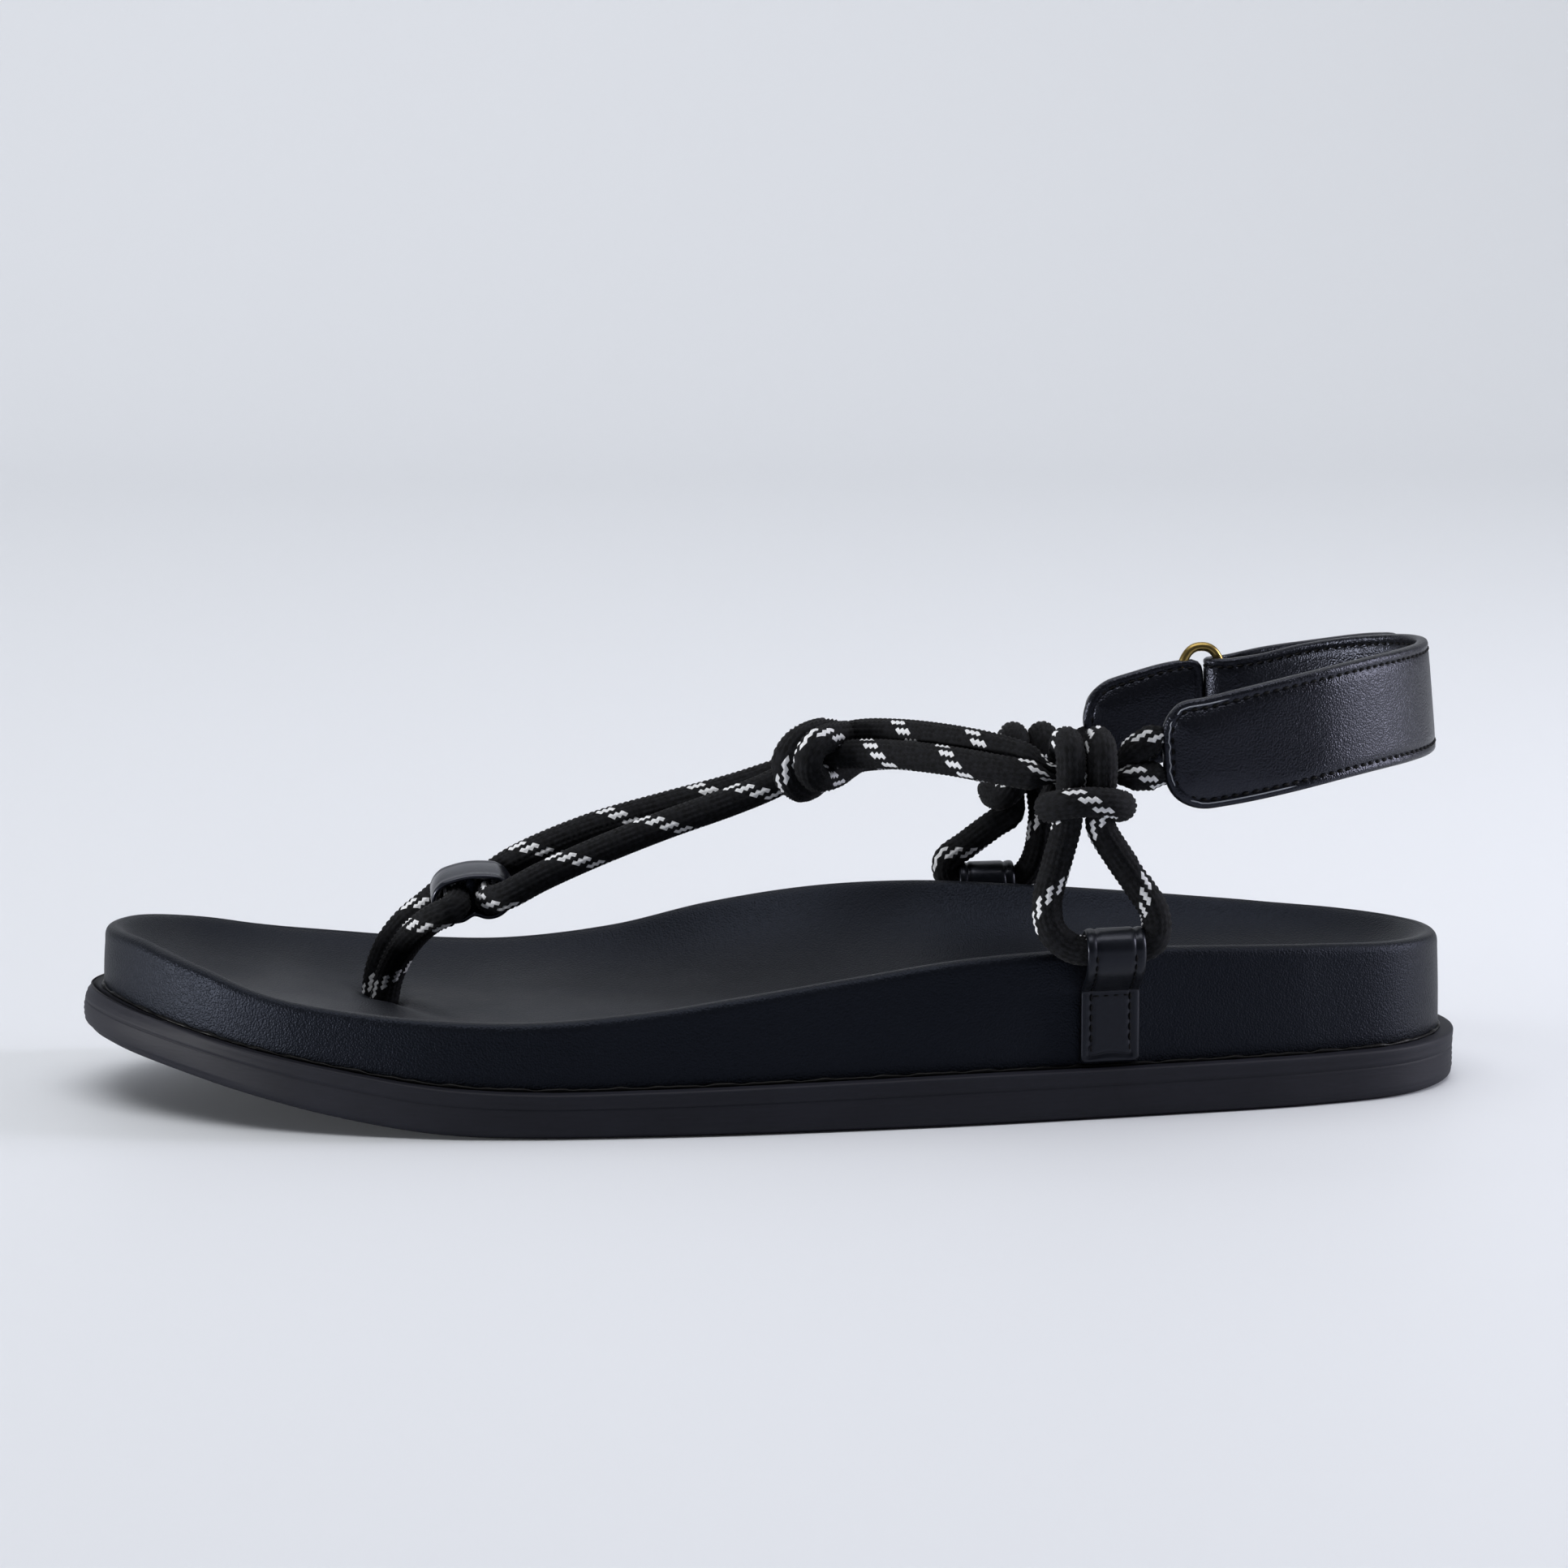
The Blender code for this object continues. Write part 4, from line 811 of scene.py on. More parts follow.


# %% [markdown]
# ## Rope routes
# The toe post is one rope doubled over. The instep rope comes back from the keeper as two
# strands, wraps twice round itself in the knot, and leaves as two ropes on each side. A knot
# could be drawn tight by a cloth or rope simulation, but it would not end in the photograph's
# shape. So each route is a short list of bends (x, y, z), chosen against the photograph and
# repeated from the solids.

# %% Bends of the toe post and the instep rope
TOE_POST = [
    (-75.3, 16.6, 12.2), (-74.9, 16.6, 16.0), (-74.2, 16.5, 20.5), (-72.1, 16.3, 25.6),
    (-68.7, 16.4, 29.8), (-64.6, 16.0, 33.2), (-61.5, 15.0, 36.0), (-60.1, 12.0, 37.2),
    (-60.0, 7.1, 36.2), (-60.0, 2.2, 35.0), (-61.6, -1.0, 34.3), (-64.4, 0.2, 32.8),
    (-67.6, 4.0, 29.6), (-70.4, 8.0, 25.2), (-72.4, 10.4, 20.4), (-73.4, 11.0, 15.9),
    (-73.8, 11.0, 12.2),
]
INSTEP_BIGHT = [
    (6.0, -1.0, 61.2), (0.0, -2.6, 58.0), (-7.8, -2.5, 54.8), (-20.9, -1.3, 50.1),
    (-34.0, -1.0, 45.0), (-44.4, -1.4, 40.5), (-50.2, -1.6, 37.5), (-53.4, 1.8, 35.9),
    (-53.7, 7.1, 37.0), (-53.5, 12.3, 38.2), (-50.6, 15.1, 39.9), (-45.6, 13.6, 42.9),
    (-33.3, 11.0, 48.2), (-19.5, 8.4, 52.4), (-7.0, 6.0, 56.0), (6.0, 4.6, 60.4),
]
KNOT_WRAP_REAR = [
    (14.6, 7.0, 61.5), (13.7, 4.0, 64.8), (10.9, 0.0, 67.0), (7.3, -4.0, 67.4),
    (3.6, -7.6, 66.2), (1.5, -9.4, 63.4), (1.8, -8.6, 60.2), (4.0, -5.0, 57.6),
    (6.8, 1.0, 56.9), (9.0, 5.2, 57.7), (11.8, 7.5, 59.3), (14.0, 7.4, 61.6),
]
KNOT_WRAP_FRONT = [
    (13.8, -2.2, 66.8), (12.0, -6.0, 67.2), (9.0, -9.4, 67.2), (6.4, -12.0, 66.2),
    (5.2, -12.8, 63.6), (6.0, -11.0, 60.8), (8.4, -7.4, 59.6), (11.0, -4.6, 59.9),
    (13.7, -1.0, 61.0), (16.4, 4.6, 61.4), (20.4, 9.6, 61.2), (28.0, 17.6, 60.2),
    (37.0, 26.0, 57.9), (43.6, 31.0, 55.8), (48.6, 32.4, 54.3), (58.2, 32.6, 54.2),
    (62.4, 33.2, 55.3), (67.5, 33.6, 57.6), (72.0, 33.6, 58.8),
]
LATERAL_UPPER = [
    (9.0, 4.0, 63.4), (14.9, -3.0, 67.0), (22.5, -11.0, 68.2), (33.9, -24.0, 68.1),
    (41.6, -31.4, 66.8), (46.4, -35.8, 64.9), (50.4, -36.8, 64.2), (56.6, -36.8, 64.3),
    (60.4, -36.7, 66.2), (65.5, -36.9, 69.8), (69.0, -36.9, 71.0), (74.0, -36.9, 71.8),
]
LATERAL_LOWER = [
    (6.0, -2.0, 63.0), (11.7, -7.6, 64.0), (18.9, -15.2, 65.0), (27.9, -25.0, 65.2),
    (38.0, -34.6, 64.4), (45.0, -37.6, 63.4), (50.4, -36.9, 62.4), (56.6, -36.9, 62.4),
    (61.0, -37.6, 63.2), (66.0, -37.3, 63.3), (70.0, -37.0, 62.6), (76.0, -37.0, 61.8),
]
MEDIAL_UPPER = [
    (8.0, 1.0, 61.5), (15.0, 8.6, 64.0), (22.0, 15.0, 64.2), (31.0, 23.2, 62.4),
    (40.0, 29.6, 59.6), (45.6, 31.8, 57.2), (50.4, 32.3, 56.0), (58.0, 32.5, 56.1),
    (62.4, 33.4, 58.8), (67.5, 33.8, 63.6), (72.0, 33.7, 66.2),
]

# %% [markdown]
# ## Where the rope is pressed thin
# A tight turn presses the ropes inside it flat, and so does the stitching between the strap's
# two layers. Both places are hidden, so a round rope that gets thinner there is enough, and
# it leaves room for the turns that do show.

# %% Pressed rope
SQUEEZE = {"lateral": (46.8, 59.0), "medial": (47.4, 59.8)}
SQUEEZED_RADIUS = 1.1
SQUEEZE_FADE = 3.2
STRAP_MOUTH = {"lateral": 66.0, "medial": 63.8}
SEWN_RADIUS = 1.4
SEWN_FADE = 2.5


def squeeze(side):
    """Radius by x: thin inside the side knot and again between the strap's layers."""
    low, high = SQUEEZE[side]
    mouth = STRAP_MOUTH[side]

    def radius(x):
        grow = np.clip(np.maximum(low - x, x - high) / SQUEEZE_FADE, 0, 1)
        sewn = np.clip((x - mouth) / SEWN_FADE, 0, 1)
        full = SQUEEZED_RADIUS + (ROPE_RADIUS - SQUEEZED_RADIUS) * grow
        return full + (SEWN_RADIUS - full) * sewn

    return radius


# %% Toe post and instep rope
# The number after each route turns its flecks to where the photograph has them.
rope_piece("toe_post_braid", [(TOE_POST, 0.85, None)], ["toe_post_cord"])
rope_piece("instep_braid", [
    (INSTEP_BIGHT, 0.8, None),
    (KNOT_WRAP_REAR, 0.1, None),
    (KNOT_WRAP_FRONT, 0.0, squeeze("medial")),
    (MEDIAL_UPPER, 0.2, squeeze("medial")),
    (LATERAL_UPPER, 0.6, squeeze("lateral")),
    (LATERAL_LOWER, 0.9, squeeze("lateral")),
], ["instep_rope"])

# %% [markdown]
# ## Side loops
# On each side a loop of rope is hitched round the two side ropes: it goes over them twice,
# and a bar holds both turns together at the front. Its two legs open into a loop that runs
# under a leather tab. Drawing both sides' knots bend by bend would give two that differ by
# accident, so the bends are given once and mirrored for the second turn. They are (along the
# foot, outwards, up) from the knot's middle, and a leg's are (x, outwards, z).

# %% Bends of the side loops
HITCH_FRONT = [
    (2.9, -4.5, 2.8), (2.9, -3.6, 5.6), (2.9, -1.2, 7.0), (2.9, 1.6, 7.0), (2.9, 4.6, 5.6),
    (2.9, 5.4, 2.2), (2.9, 4.4, -2.0), (3.0, 3.0, -5.4), (3.2, 2.2, -8.4),
]
HITCH_BAR = [
    (2.9, -4.2, 4.0), (2.9, -4.5, 1.0), (3.5, -4.3, -1.8), (5.2, -2.2, -4.3),
    (6.3, 1.6, -4.8), (6.4, 5.6, -4.0), (4.4, 8.2, -3.2), (0.0, 9.0, -2.8),
]
KNOTS = {"lateral": (52.9, -36.8, 62.6), "medial": (53.6, 32.4, 54.5)}
LEGS = {
    "lateral": {
        "fore": [(47.9, 1.8, 47.1), (46.2, 2.8, 40.6), (46.9, 4.2, 35.4), (50.4, 5.2, 32.4)],
        "rear": [(59.6, 1.8, 48.4), (63.0, 2.6, 43.4), (66.0, 3.8, 38.2), (65.6, 4.8, 33.6)],
    },
    "medial": {
        "fore": [(46.9, 1.4, 43.9), (42.0, 1.8, 40.2), (37.8, 2.6, 36.6), (38.8, 3.2, 33.0)],
        "rear": [(56.4, 1.4, 42.6), (56.0, 1.8, 39.0), (54.9, 2.6, 35.6), (52.6, 3.2, 32.8)],
    },
}
# Each tab is (x of its middle, height of its fold, height of the seam below the rope).
TABS = {"lateral": (58.2, 36.0, 24.8), "medial": (45.6, 36.4, 24.8)}
TUNNEL_OUT = 4.4
TUNNEL_DROP = 4.15
TUNNEL_HALF = 3.6


# %% Side loops
def outwards(side):
    """Sign of y away from the foot."""
    return -1.0 if side == "lateral" else 1.0


def wall_y(side, x):
    """y of the footbed's wall at x."""
    return along(x, "outer" if side == "lateral" else "inner") - outwards(side) * LEDGE


def loop_routes(side):
    """The hitch's front turns with both legs as one rope, and its bar as another."""
    kx, ky, kz = KNOTS[side]
    out = outwards(side)
    tab_x, fold_z, _ = TABS[side]

    def hitch(rows, mirror):
        return [(kx + mirror * u, ky + out * d, kz + v) for u, d, v in rows]

    def leg(name):
        return [(x, ky + out * d, z) for x, d, z in LEGS[side][name]]

    def under_tab(x):
        return [(x, float(wall_y(side, x)) + out * TUNNEL_OUT, fold_z - TUNNEL_DROP)]

    rear = hitch(HITCH_FRONT, 1) + leg("rear") + under_tab(tab_x + TUNNEL_HALF)
    fore = hitch(HITCH_FRONT, -1) + leg("fore") + under_tab(tab_x - TUNNEL_HALF)
    bar = hitch(HITCH_BAR, 1) + hitch(HITCH_BAR[:-1], -1)[::-1]
    return rear + fore[::-1], bar


for side, slot in (("lateral", "braided_rope_outer_loop"), ("medial", "braided_rope_inner_loop")):
    legs, bar = loop_routes(side)
    ropes = [(legs, 0.4, None), (bar, 0.25, None)]
    rope_piece(f"side_loop_{side}_braid", ropes, [f"side_loop_{side}"])

# %% [markdown]
# ## Leather plates
# A strap, a tab end or a folded tab is a flat plate first: an outline with round corners, two
# faces and a rounded edge, with a sewn channel pressed in along the edge. A sheet with a
# solidify modifier would have the thickness, but no channel, and its corners would pinch at
# the bends. Here the points are (along, across, depth) in the flat, as a maker cuts the
# leather, and a second function carries them onto the bent surface.


# %% Leather plates
EDGE_ROUND = 0.7
CHANNEL_DEPTH, CHANNEL_SPREAD = 0.3, 0.3
# A row in the middle of a face counts as this far from the edge, past the channel.
MIDDLE = 9.0


def round_rectangle(length, width, corners):
    """Outline from (0, -width/2) round to (0, width/2). Four corner radii, first two at 0."""
    low_start, high_start, high_end, low_end = corners
    half = width / 2
    spots = [
        (length - low_end, -half + low_end, low_end, -90),
        (length - high_end, half - high_end, high_end, 0),
        (high_start, half - high_start, high_start, 90),
        (low_start, -half + low_start, low_start, 180),
    ]
    arcs = []
    for x, y, radius, start in spots:
        a = np.radians(start + np.linspace(0, 90, 13))
        arcs.append(np.column_stack([x + radius * np.cos(a), y + radius * np.sin(a)]))
    return np.vstack(arcs)


def plate_face(spine, edge, thick, channel, swell, face):
    """Rows of one face, from the edge inwards: a quarter round, the channel, then the middle.

    The round's depth is the square root of 1 - (1 - k) squared, with k growing from 0 at the
    edge to 1 at EDGE_ROUND. The channel is a bell curve of the distance to the stitch line.
    """
    reach = np.linalg.norm(edge - spine, axis=1)
    insets = [0.0, 0.12, 0.35, 0.7, 1.1, channel - 0.25, channel, channel + 0.25, channel + 0.6]
    strip = [(np.full(len(reach), k), k) for k in insets]
    for part in (0.15, 0.35, 0.6, 0.8, 1.0):
        strip.append((insets[-1] + (reach - insets[-1]) * part, MIDDLE))
    rows = []
    for depth_in, k in strip:
        spot = spine + (edge - spine) * (1 - depth_in / reach)[:, None]
        curve = math.sqrt(max(1 - (1 - min(k / EDGE_ROUND, 1)) ** 2, 0))
        groove = CHANNEL_DEPTH * math.exp(-((k - channel) / CHANNEL_SPREAD) ** 2)
        extra = swell(spot[:, 0], spot[:, 1], face) if swell else np.zeros(len(spot))
        rows.append(np.column_stack([spot, face * (0.5 * thick * curve - groove + extra)]))
    return rows


def plate(name, outline, spine_ends, counts, thick, carry, material, channel, swell, replaced):
    """Both faces and the edge of a plate, carried onto its surface.

    channel is the stitch line's distance from the edge. swell(along, across, face) adds depth
    to the faces, or is None.
    """
    spine, edge, _ = pair_up(outline, *spine_ends, *counts)
    front = plate_face(spine, edge, thick, channel, swell, 1)
    back = plate_face(spine, edge, thick, channel, swell, -1)
    grid = np.stack(front[::-1] + back[1:])
    return skin(name, carry(grid), material, replaced=replaced)


# %% [markdown]
# ## Stitches
# A stitch is a short thread that comes up from the leather and dives back in. A dashed line
# in the leather's colour would lie flat, and one long thread that really dips in and out needs
# many more faces. So each stitch is a spindle of a few faces, copied along the sewn channel by
# arrays: a copy takes its place, its direction and its outward side from the channel there.


# %% Stitches
def stitches(name, path, outward, pitch, length, thickness):
    """Spindles along a path, one each pitch, their ends a little under the surface.

    A spindle's girth is the square root of 1 - tt, with t from -1 to 1 along it, and its middle
    line is an arch that falls with tt.
    """
    run = np.concatenate([[0], np.cumsum(np.linalg.norm(np.diff(path, axis=0), axis=1))])
    stops = np.arange(pitch / 2, run[-1], pitch)

    def at(places, rows):
        return np.stack([np.interp(places, run, column) for column in rows.T], axis=1)

    centre, ahead, out = at(stops, path), at(stops + 0.3, path), unit(at(stops, outward))
    forward = unit(ahead - centre)
    sideways = unit(np.cross(forward, out))
    t = np.array([-1.0, -0.9, -0.5, 0.0, 0.5, 0.9, 1.0])
    a = 2 * math.pi * np.arange(6) / 6
    girth = thickness * np.sqrt(np.clip(1 - t ** 2, 0, 1))[:, None]
    local_out = girth * np.cos(a) + thickness * (0.5 - 1.1 * t[:, None] ** 2)
    local_side = girth * np.sin(a)
    local_along = np.broadcast_to(t[:, None] * length / 2, local_out.shape)
    points = (centre[:, None, None] + local_along[None, ..., None] * forward[:, None, None]
              + local_out[None, ..., None] * out[:, None, None]
              + local_side[None, ..., None] * sideways[:, None, None])
    one = grid_quads(len(t), len(a))
    quads = (one[None] + (np.arange(len(centre)) * len(t) * len(a))[:, None, None]).reshape(-1, 4)
    return make_piece(name, points.reshape(-1, 3), quads, THREAD)


# %% [markdown]
# ## Heel strap
# The strap is two layers of leather sewn back to back. At its front end the layers swell round
# the two outer ropes. It runs round the heel, leans in a little at the top, goes through the
# brass ring on the inner side, and comes back on the outside. A curve modifier would bend a
# flat strip the same way, but it twists the strip at the tight turn in the ring. The ring's
# tab is made the same way, so one function carries either plate along its own path.

# %% Bends of the strap and the ring's tab
# Each row is (x, y, z, half the width, thickness with the ropes inside, lean at the top).
HEEL_STRAP = [
    (67.6, -37.9, 66.6, 10.3, 6.0, 0.0), (71.2, -37.8, 66.8, 10.3, 6.6, 0.0),
    (77.0, -37.4, 67.5, 10.3, 6.6, 0.2), (83.0, -36.9, 68.6, 10.5, 4.4, 0.4),
    (91.0, -35.4, 70.1, 10.6, 2.4, 0.8), (100.0, -32.0, 71.6, 10.6, 2.4, 1.0),
    (108.6, -26.4, 72.6, 10.6, 2.4, 1.2), (116.8, -18.6, 73.1, 10.6, 2.4, 1.4),
    (122.9, -9.4, 73.3, 10.6, 2.4, 1.4), (125.3, -0.6, 73.5, 10.6, 2.4, 1.4),
    (123.8, 8.6, 73.1, 10.5, 2.2, 1.4), (117.6, 18.0, 72.1, 10.2, 2.2, 1.2),
    (109.4, 25.4, 70.3, 10.0, 2.2, 1.0), (101.0, 30.0, 68.0, 9.8, 2.2, 0.6),
    (95.4, 31.8, 67.3, 9.5, 2.2, 0.2), (92.4, 31.9, 67.2, 9.3, 2.2, 0.0),
    (90.4, 32.8, 67.2, 9.3, 2.2, 0.0), (89.7, 34.4, 67.2, 9.3, 2.2, 0.0),
    (90.4, 36.0, 67.2, 9.3, 2.2, 0.0), (92.4, 36.9, 67.2, 9.3, 2.2, 0.0),
    (96.0, 36.4, 67.5, 9.6, 2.2, 0.3), (102.4, 33.4, 68.8, 10.0, 2.2, 0.6),
    (111.2, 27.8, 70.6, 10.1, 2.2, 1.0), (119.6, 20.2, 72.4, 10.2, 2.2, 1.2),
    (125.4, 11.8, 73.6, 10.0, 2.2, 1.4),
]
RING_TAB = [
    (65.2, 33.7, 61.2, 9.6, 5.6, 0.0), (67.4, 33.7, 61.8, 9.6, 6.6, 0.0),
    (70.0, 33.7, 62.6, 9.6, 6.6, 0.0), (76.0, 33.8, 64.4, 9.6, 5.4, 0.0),
    (82.0, 34.2, 66.0, 9.6, 4.6, 0.0), (86.0, 34.4, 66.8, 9.4, 4.6, 0.0),
    (88.9, 34.4, 67.0, 9.2, 3.0, 0.0),
]
STRAP_CORNERS = (8.0, 6.0, 4.0, 4.0)
RING_TAB_CORNERS = (8.5, 8.5, 2.5, 2.5)
FULL_HALF = 10.0
EDGE_THICK = 2.2
CHANNEL = 1.8
BAND_STEP = 0.5
HEEL_MIDDLE = np.array([95.0, 0.0, 0.0])


# %% Strap surface
def band_surface(rows):
    """Carrier of (along, across, depth) onto an upright band, its length, and its thickness.

    across is scaled by the band's own half width, and the top leans towards the heel's middle.
    """
    path, stops = smooth_path(rows, BAND_STEP)
    centre, half, thick, lean = path[:, :3], path[:, 3], path[:, 4], path[:, 5]
    tangent = unit(np.gradient(centre, axis=0))
    side = unit(np.column_stack([tangent[:, 1], -tangent[:, 0], np.zeros(len(tangent))]))
    up = unit(np.cross(side, tangent))
    up = up * np.sign(up[:, 2:])
    inward = unit((HEEL_MIDDLE - centre) * [1, 1, 0]) * lean[:, None]

    def read(values, s):
        return np.stack([np.interp(s, stops, column) for column in values.T], axis=-1)

    def carry(grid):
        s, h, d = grid[..., 0], grid[..., 1], grid[..., 2]
        across = h / FULL_HALF * np.interp(s, stops, half)
        lean_part = 0.3 + 0.7 * h / FULL_HALF
        return (read(centre, s) + read(up, s) * across[..., None] + read(side, s) * d[..., None]
                + read(inward, s) * lean_part[..., None])

    return carry, stops[-1], lambda s: np.interp(s, stops, thick)


# %% Heel strap and ring tab
BAND_CELL = 0.8
BAND_FAN_AT = 9.6
# The ropes push the strap's foot side out more than its outer side, which stays nearly flat.
SWELL_OUTER, SWELL_INNER = 0.45, 1.2
SWELL_RAMP = 3.4


def band(name, rows, corners, replaced):
    """Plate along the rows, swollen round the rope ends. Gives its carrier and its length."""
    carry, length, thick = band_surface(rows)
    outline = round_rectangle(length, 2 * FULL_HALF, corners)

    def swell(s, h, face):
        """Layers parted by the ropes inside: nothing at the edges, most in the middle."""
        room = np.maximum(thick(s) - EDGE_THICK, 0) / 2
        edge = np.minimum(FULL_HALF - np.abs(h), s + 0.4)
        push = SWELL_OUTER if face == 1 else SWELL_INNER
        return room * push * np.clip((edge - CHANNEL) / SWELL_RAMP, 0, 1)

    counts = (int(length / BAND_CELL), 36, 36)
    plate(name, outline, (BAND_FAN_AT, length - BAND_FAN_AT), counts, EDGE_THICK, carry,
          STRAP_LEATHER, CHANNEL, swell, replaced)
    return carry, length


strap_carry, strap_length = band(
    "heel_strap_sewn", HEEL_STRAP, STRAP_CORNERS, ["heel_strap"])
tab_carry, tab_length = band(
    "ring_tab_sewn", RING_TAB, RING_TAB_CORNERS, ["ring_tab"])
print("strap length", round(strap_length, 1), "mm; tab length", round(tab_length, 1), "mm")

# %% [markdown]
# ## The strap's stitches and pale edge
# A row of black thread runs round each plate in its sewn channel, on both faces. Beside it, at
# the strap's front end, the coating was cut and its raw edge shows as a thin pale line that
# wavers. Painting that line would need a texture map, so it is a hair-thin tube of its own.


# %% Strap stitches
STITCH_PITCH = 2.0
STITCH_LENGTH = 1.55
STITCH_THICK = 0.26
SEAM_STEP = 0.4
SEAM_SINK = 0.2


def even_seam(spots):
    """(along, across) spots placed evenly, with their distances along the seam."""
    return smooth_path(np.column_stack([spots, np.zeros(len(spots))]), SEAM_STEP)


def sewn_row(name, carry, spots, depth, face, pitch, length, thickness):
    """Stitches on one face of a plate, face times depth from its middle, along the spots."""
    even, _ = even_seam(spots)
    grid = np.column_stack([even[:, :2], np.full(len(even), face * depth)])
    lifted = grid + np.array([0.0, 0.0, face * 0.5])
    path = carry(grid)
    return stitches(name, path, carry(lifted) - path, pitch, length, thickness)


def inside_line(length, corners, start, stop, away=CHANNEL):
    """Channel of a plate, from start on its lower side round the front to its upper side."""
    inner = round_rectangle(length - 2 * away, 2 * (FULL_HALF - away), [c - away for c in corners])
    inner[:, 0] += away
    low = inner[(inner[:, 1] < -1) & (inner[:, 0] < length / 2)][::-1]
    high = inner[(inner[:, 1] > 1) & (inner[:, 0] < length / 2)][::-1]
    return np.vstack([[[start, -FULL_HALF + away]], low, high, [[stop, FULL_HALF - away]]])


front_end = inside_line(strap_length, STRAP_CORNERS, strap_length - 8, strap_length - 8)
tab_end = inside_line(tab_length, RING_TAB_CORNERS[:2] + (4.0, 4.0), tab_length - 2, tab_length - 2)

# %% Pale edge
PALE_AWAY = 1.15
PALE_FROM, PALE_TO = 24.0, 14.0
PALE_RADIUS = 0.13


def pale_line():
    """Thin tube along the strap's front end. Its waver is two sines, its ends fade to nothing."""
    even, stops = even_seam(inside_line(strap_length, STRAP_CORNERS, PALE_FROM, PALE_TO, PALE_AWAY))
    wave = 0.1 * np.sin(stops * 2.1) + 0.08 * np.sin(stops * 3.7 + 1.0)
    lift = 0.5 * EDGE_THICK + 0.02 * np.sin(stops * 5.3)
    path = strap_carry(np.column_stack([even[:, 0] + wave, even[:, 1], lift]))
    ends = np.clip(np.minimum(stops, stops[-1] - stops) / 2.0, 0.0, 1)
    grid = tube_grid(path, carried_frames(path), PALE_RADIUS * ends, 6)
    skin("strap_pale_edge", grid, PALE_EDGE)


pale_line()
thread_sizes = (STITCH_PITCH, STITCH_LENGTH, STITCH_THICK)
for face, word in ((1, "outer"), (-1, "inner")):
    depth = EDGE_THICK / 2 - SEAM_SINK
    sewn_row(f"strap_stitches_{word}", strap_carry, front_end, depth, face, *thread_sizes)
    sewn_row(f"ring_tab_stitches_{word}", tab_carry, tab_end, depth, face, *thread_sizes)

# %% [markdown]
# ## Ring
# A length of brass wire is bent to an oblong ring. A torus primitive, stretched, would get
# thicker wire at its ends. So a round tube runs along a slightly squared-off ellipse.

# %% Ring
RING_MIDDLE = np.array([88.2, 34.4, 67.2])
RING_HALF = (4.7, 11.4)
RING_SQUARENESS = 0.8
RING_WIRE = 0.9


def squared(values, power):
    """Size of each value to a power, with the value's own sign. Under 1 it squares a circle."""
    return np.sign(values) * np.abs(values) ** power


def strap_ring():
    """Tube along an ellipse whose cosine and sine are squared off."""
    a = 2 * math.pi * np.arange(48) / 48
    x = RING_HALF[0] * squared(np.cos(a), RING_SQUARENESS)
    z = RING_HALF[1] * squared(np.sin(a), RING_SQUARENESS)
    path, _ = smooth_path(RING_MIDDLE + np.column_stack([x, 0 * x, z]), 0.5, closed=True)
    grid = tube_grid(path, carried_frames(path, True), RING_WIRE, 20)
    return skin("strap_ring_wire", grid, BRASS, closed_rows=True, replaced=["strap_ring"])


strap_ring()

# %% [markdown]
# ## Loop tabs
# Each side loop is held by a strip of leather folded over it and sewn flat to the wall. Seen
# from the front it climbs the wall, bulges over the rope, folds and goes down behind it. A
# cloth simulation could drape the strip, but the real one is pulled tight, and a drawn section
# shows that better. The strip is the same plate as before, bent along the section, and its
# edges stand up a little beside the stitch lines.


# %% The tab's section
TAB_WIDTH = 11.2
TAB_THICK = 1.2
TAB_CORNERS = (0.8, 0.8, 0.8, 0.8)
TAB_CHANNEL = 1.9
TAB_FAN_AT = 5.3
TAB_COUNTS = (90, 30, 30)
SOLID_ROPE_RADIUS = 2.75
SEWN_FLAT = 0.95
# From the seam up the strip leaves the wall: (out from the wall, height above the seam).
TAB_RISE = [(0.95, -2.4), (1.05, -0.8), (2.4, 0.3), (5.0, 2.0), (7.1, 4.0), (7.9, 5.6)]
FOLD_ANGLES = (-8, 16, 40, 64, 88, 115, 145, 170)


def tab_section(side):
    """Middle line of the strip as (0, out from the wall, height), foot to behind the rope."""
    tab_x, fold_z, sewn_z = TABS[side]
    foot = float(along(tab_x, "ledge")) + 0.9
    rope_z = fold_z - TUNNEL_DROP
    radius = SOLID_ROPE_RADIUS + GAP + 0.55
    rows = [(SEWN_FLAT, foot), (SEWN_FLAT, foot + 6.0)]
    rows += [(out, sewn_z + rise) for out, rise in TAB_RISE]
    for degrees in FOLD_ANGLES:
        a = math.radians(degrees)
        rows.append((TUNNEL_OUT + radius * math.cos(a), rope_z + radius * math.sin(a)))
    rows += [(SEWN_FLAT, rope_z - 1.4), (0.9, rope_z - 3.0)]
    return np.array([(0.0, out, z) for out, z in rows])


# %% Loop tabs
TAB_STITCHES = (1.9, 1.4, 0.17)
TAB_SEAM_HALF = TAB_WIDTH / 2 - TAB_CHANNEL
TAB_SEAM_DROP = 1.9
TAB_SEAM_ABOVE = 12.0


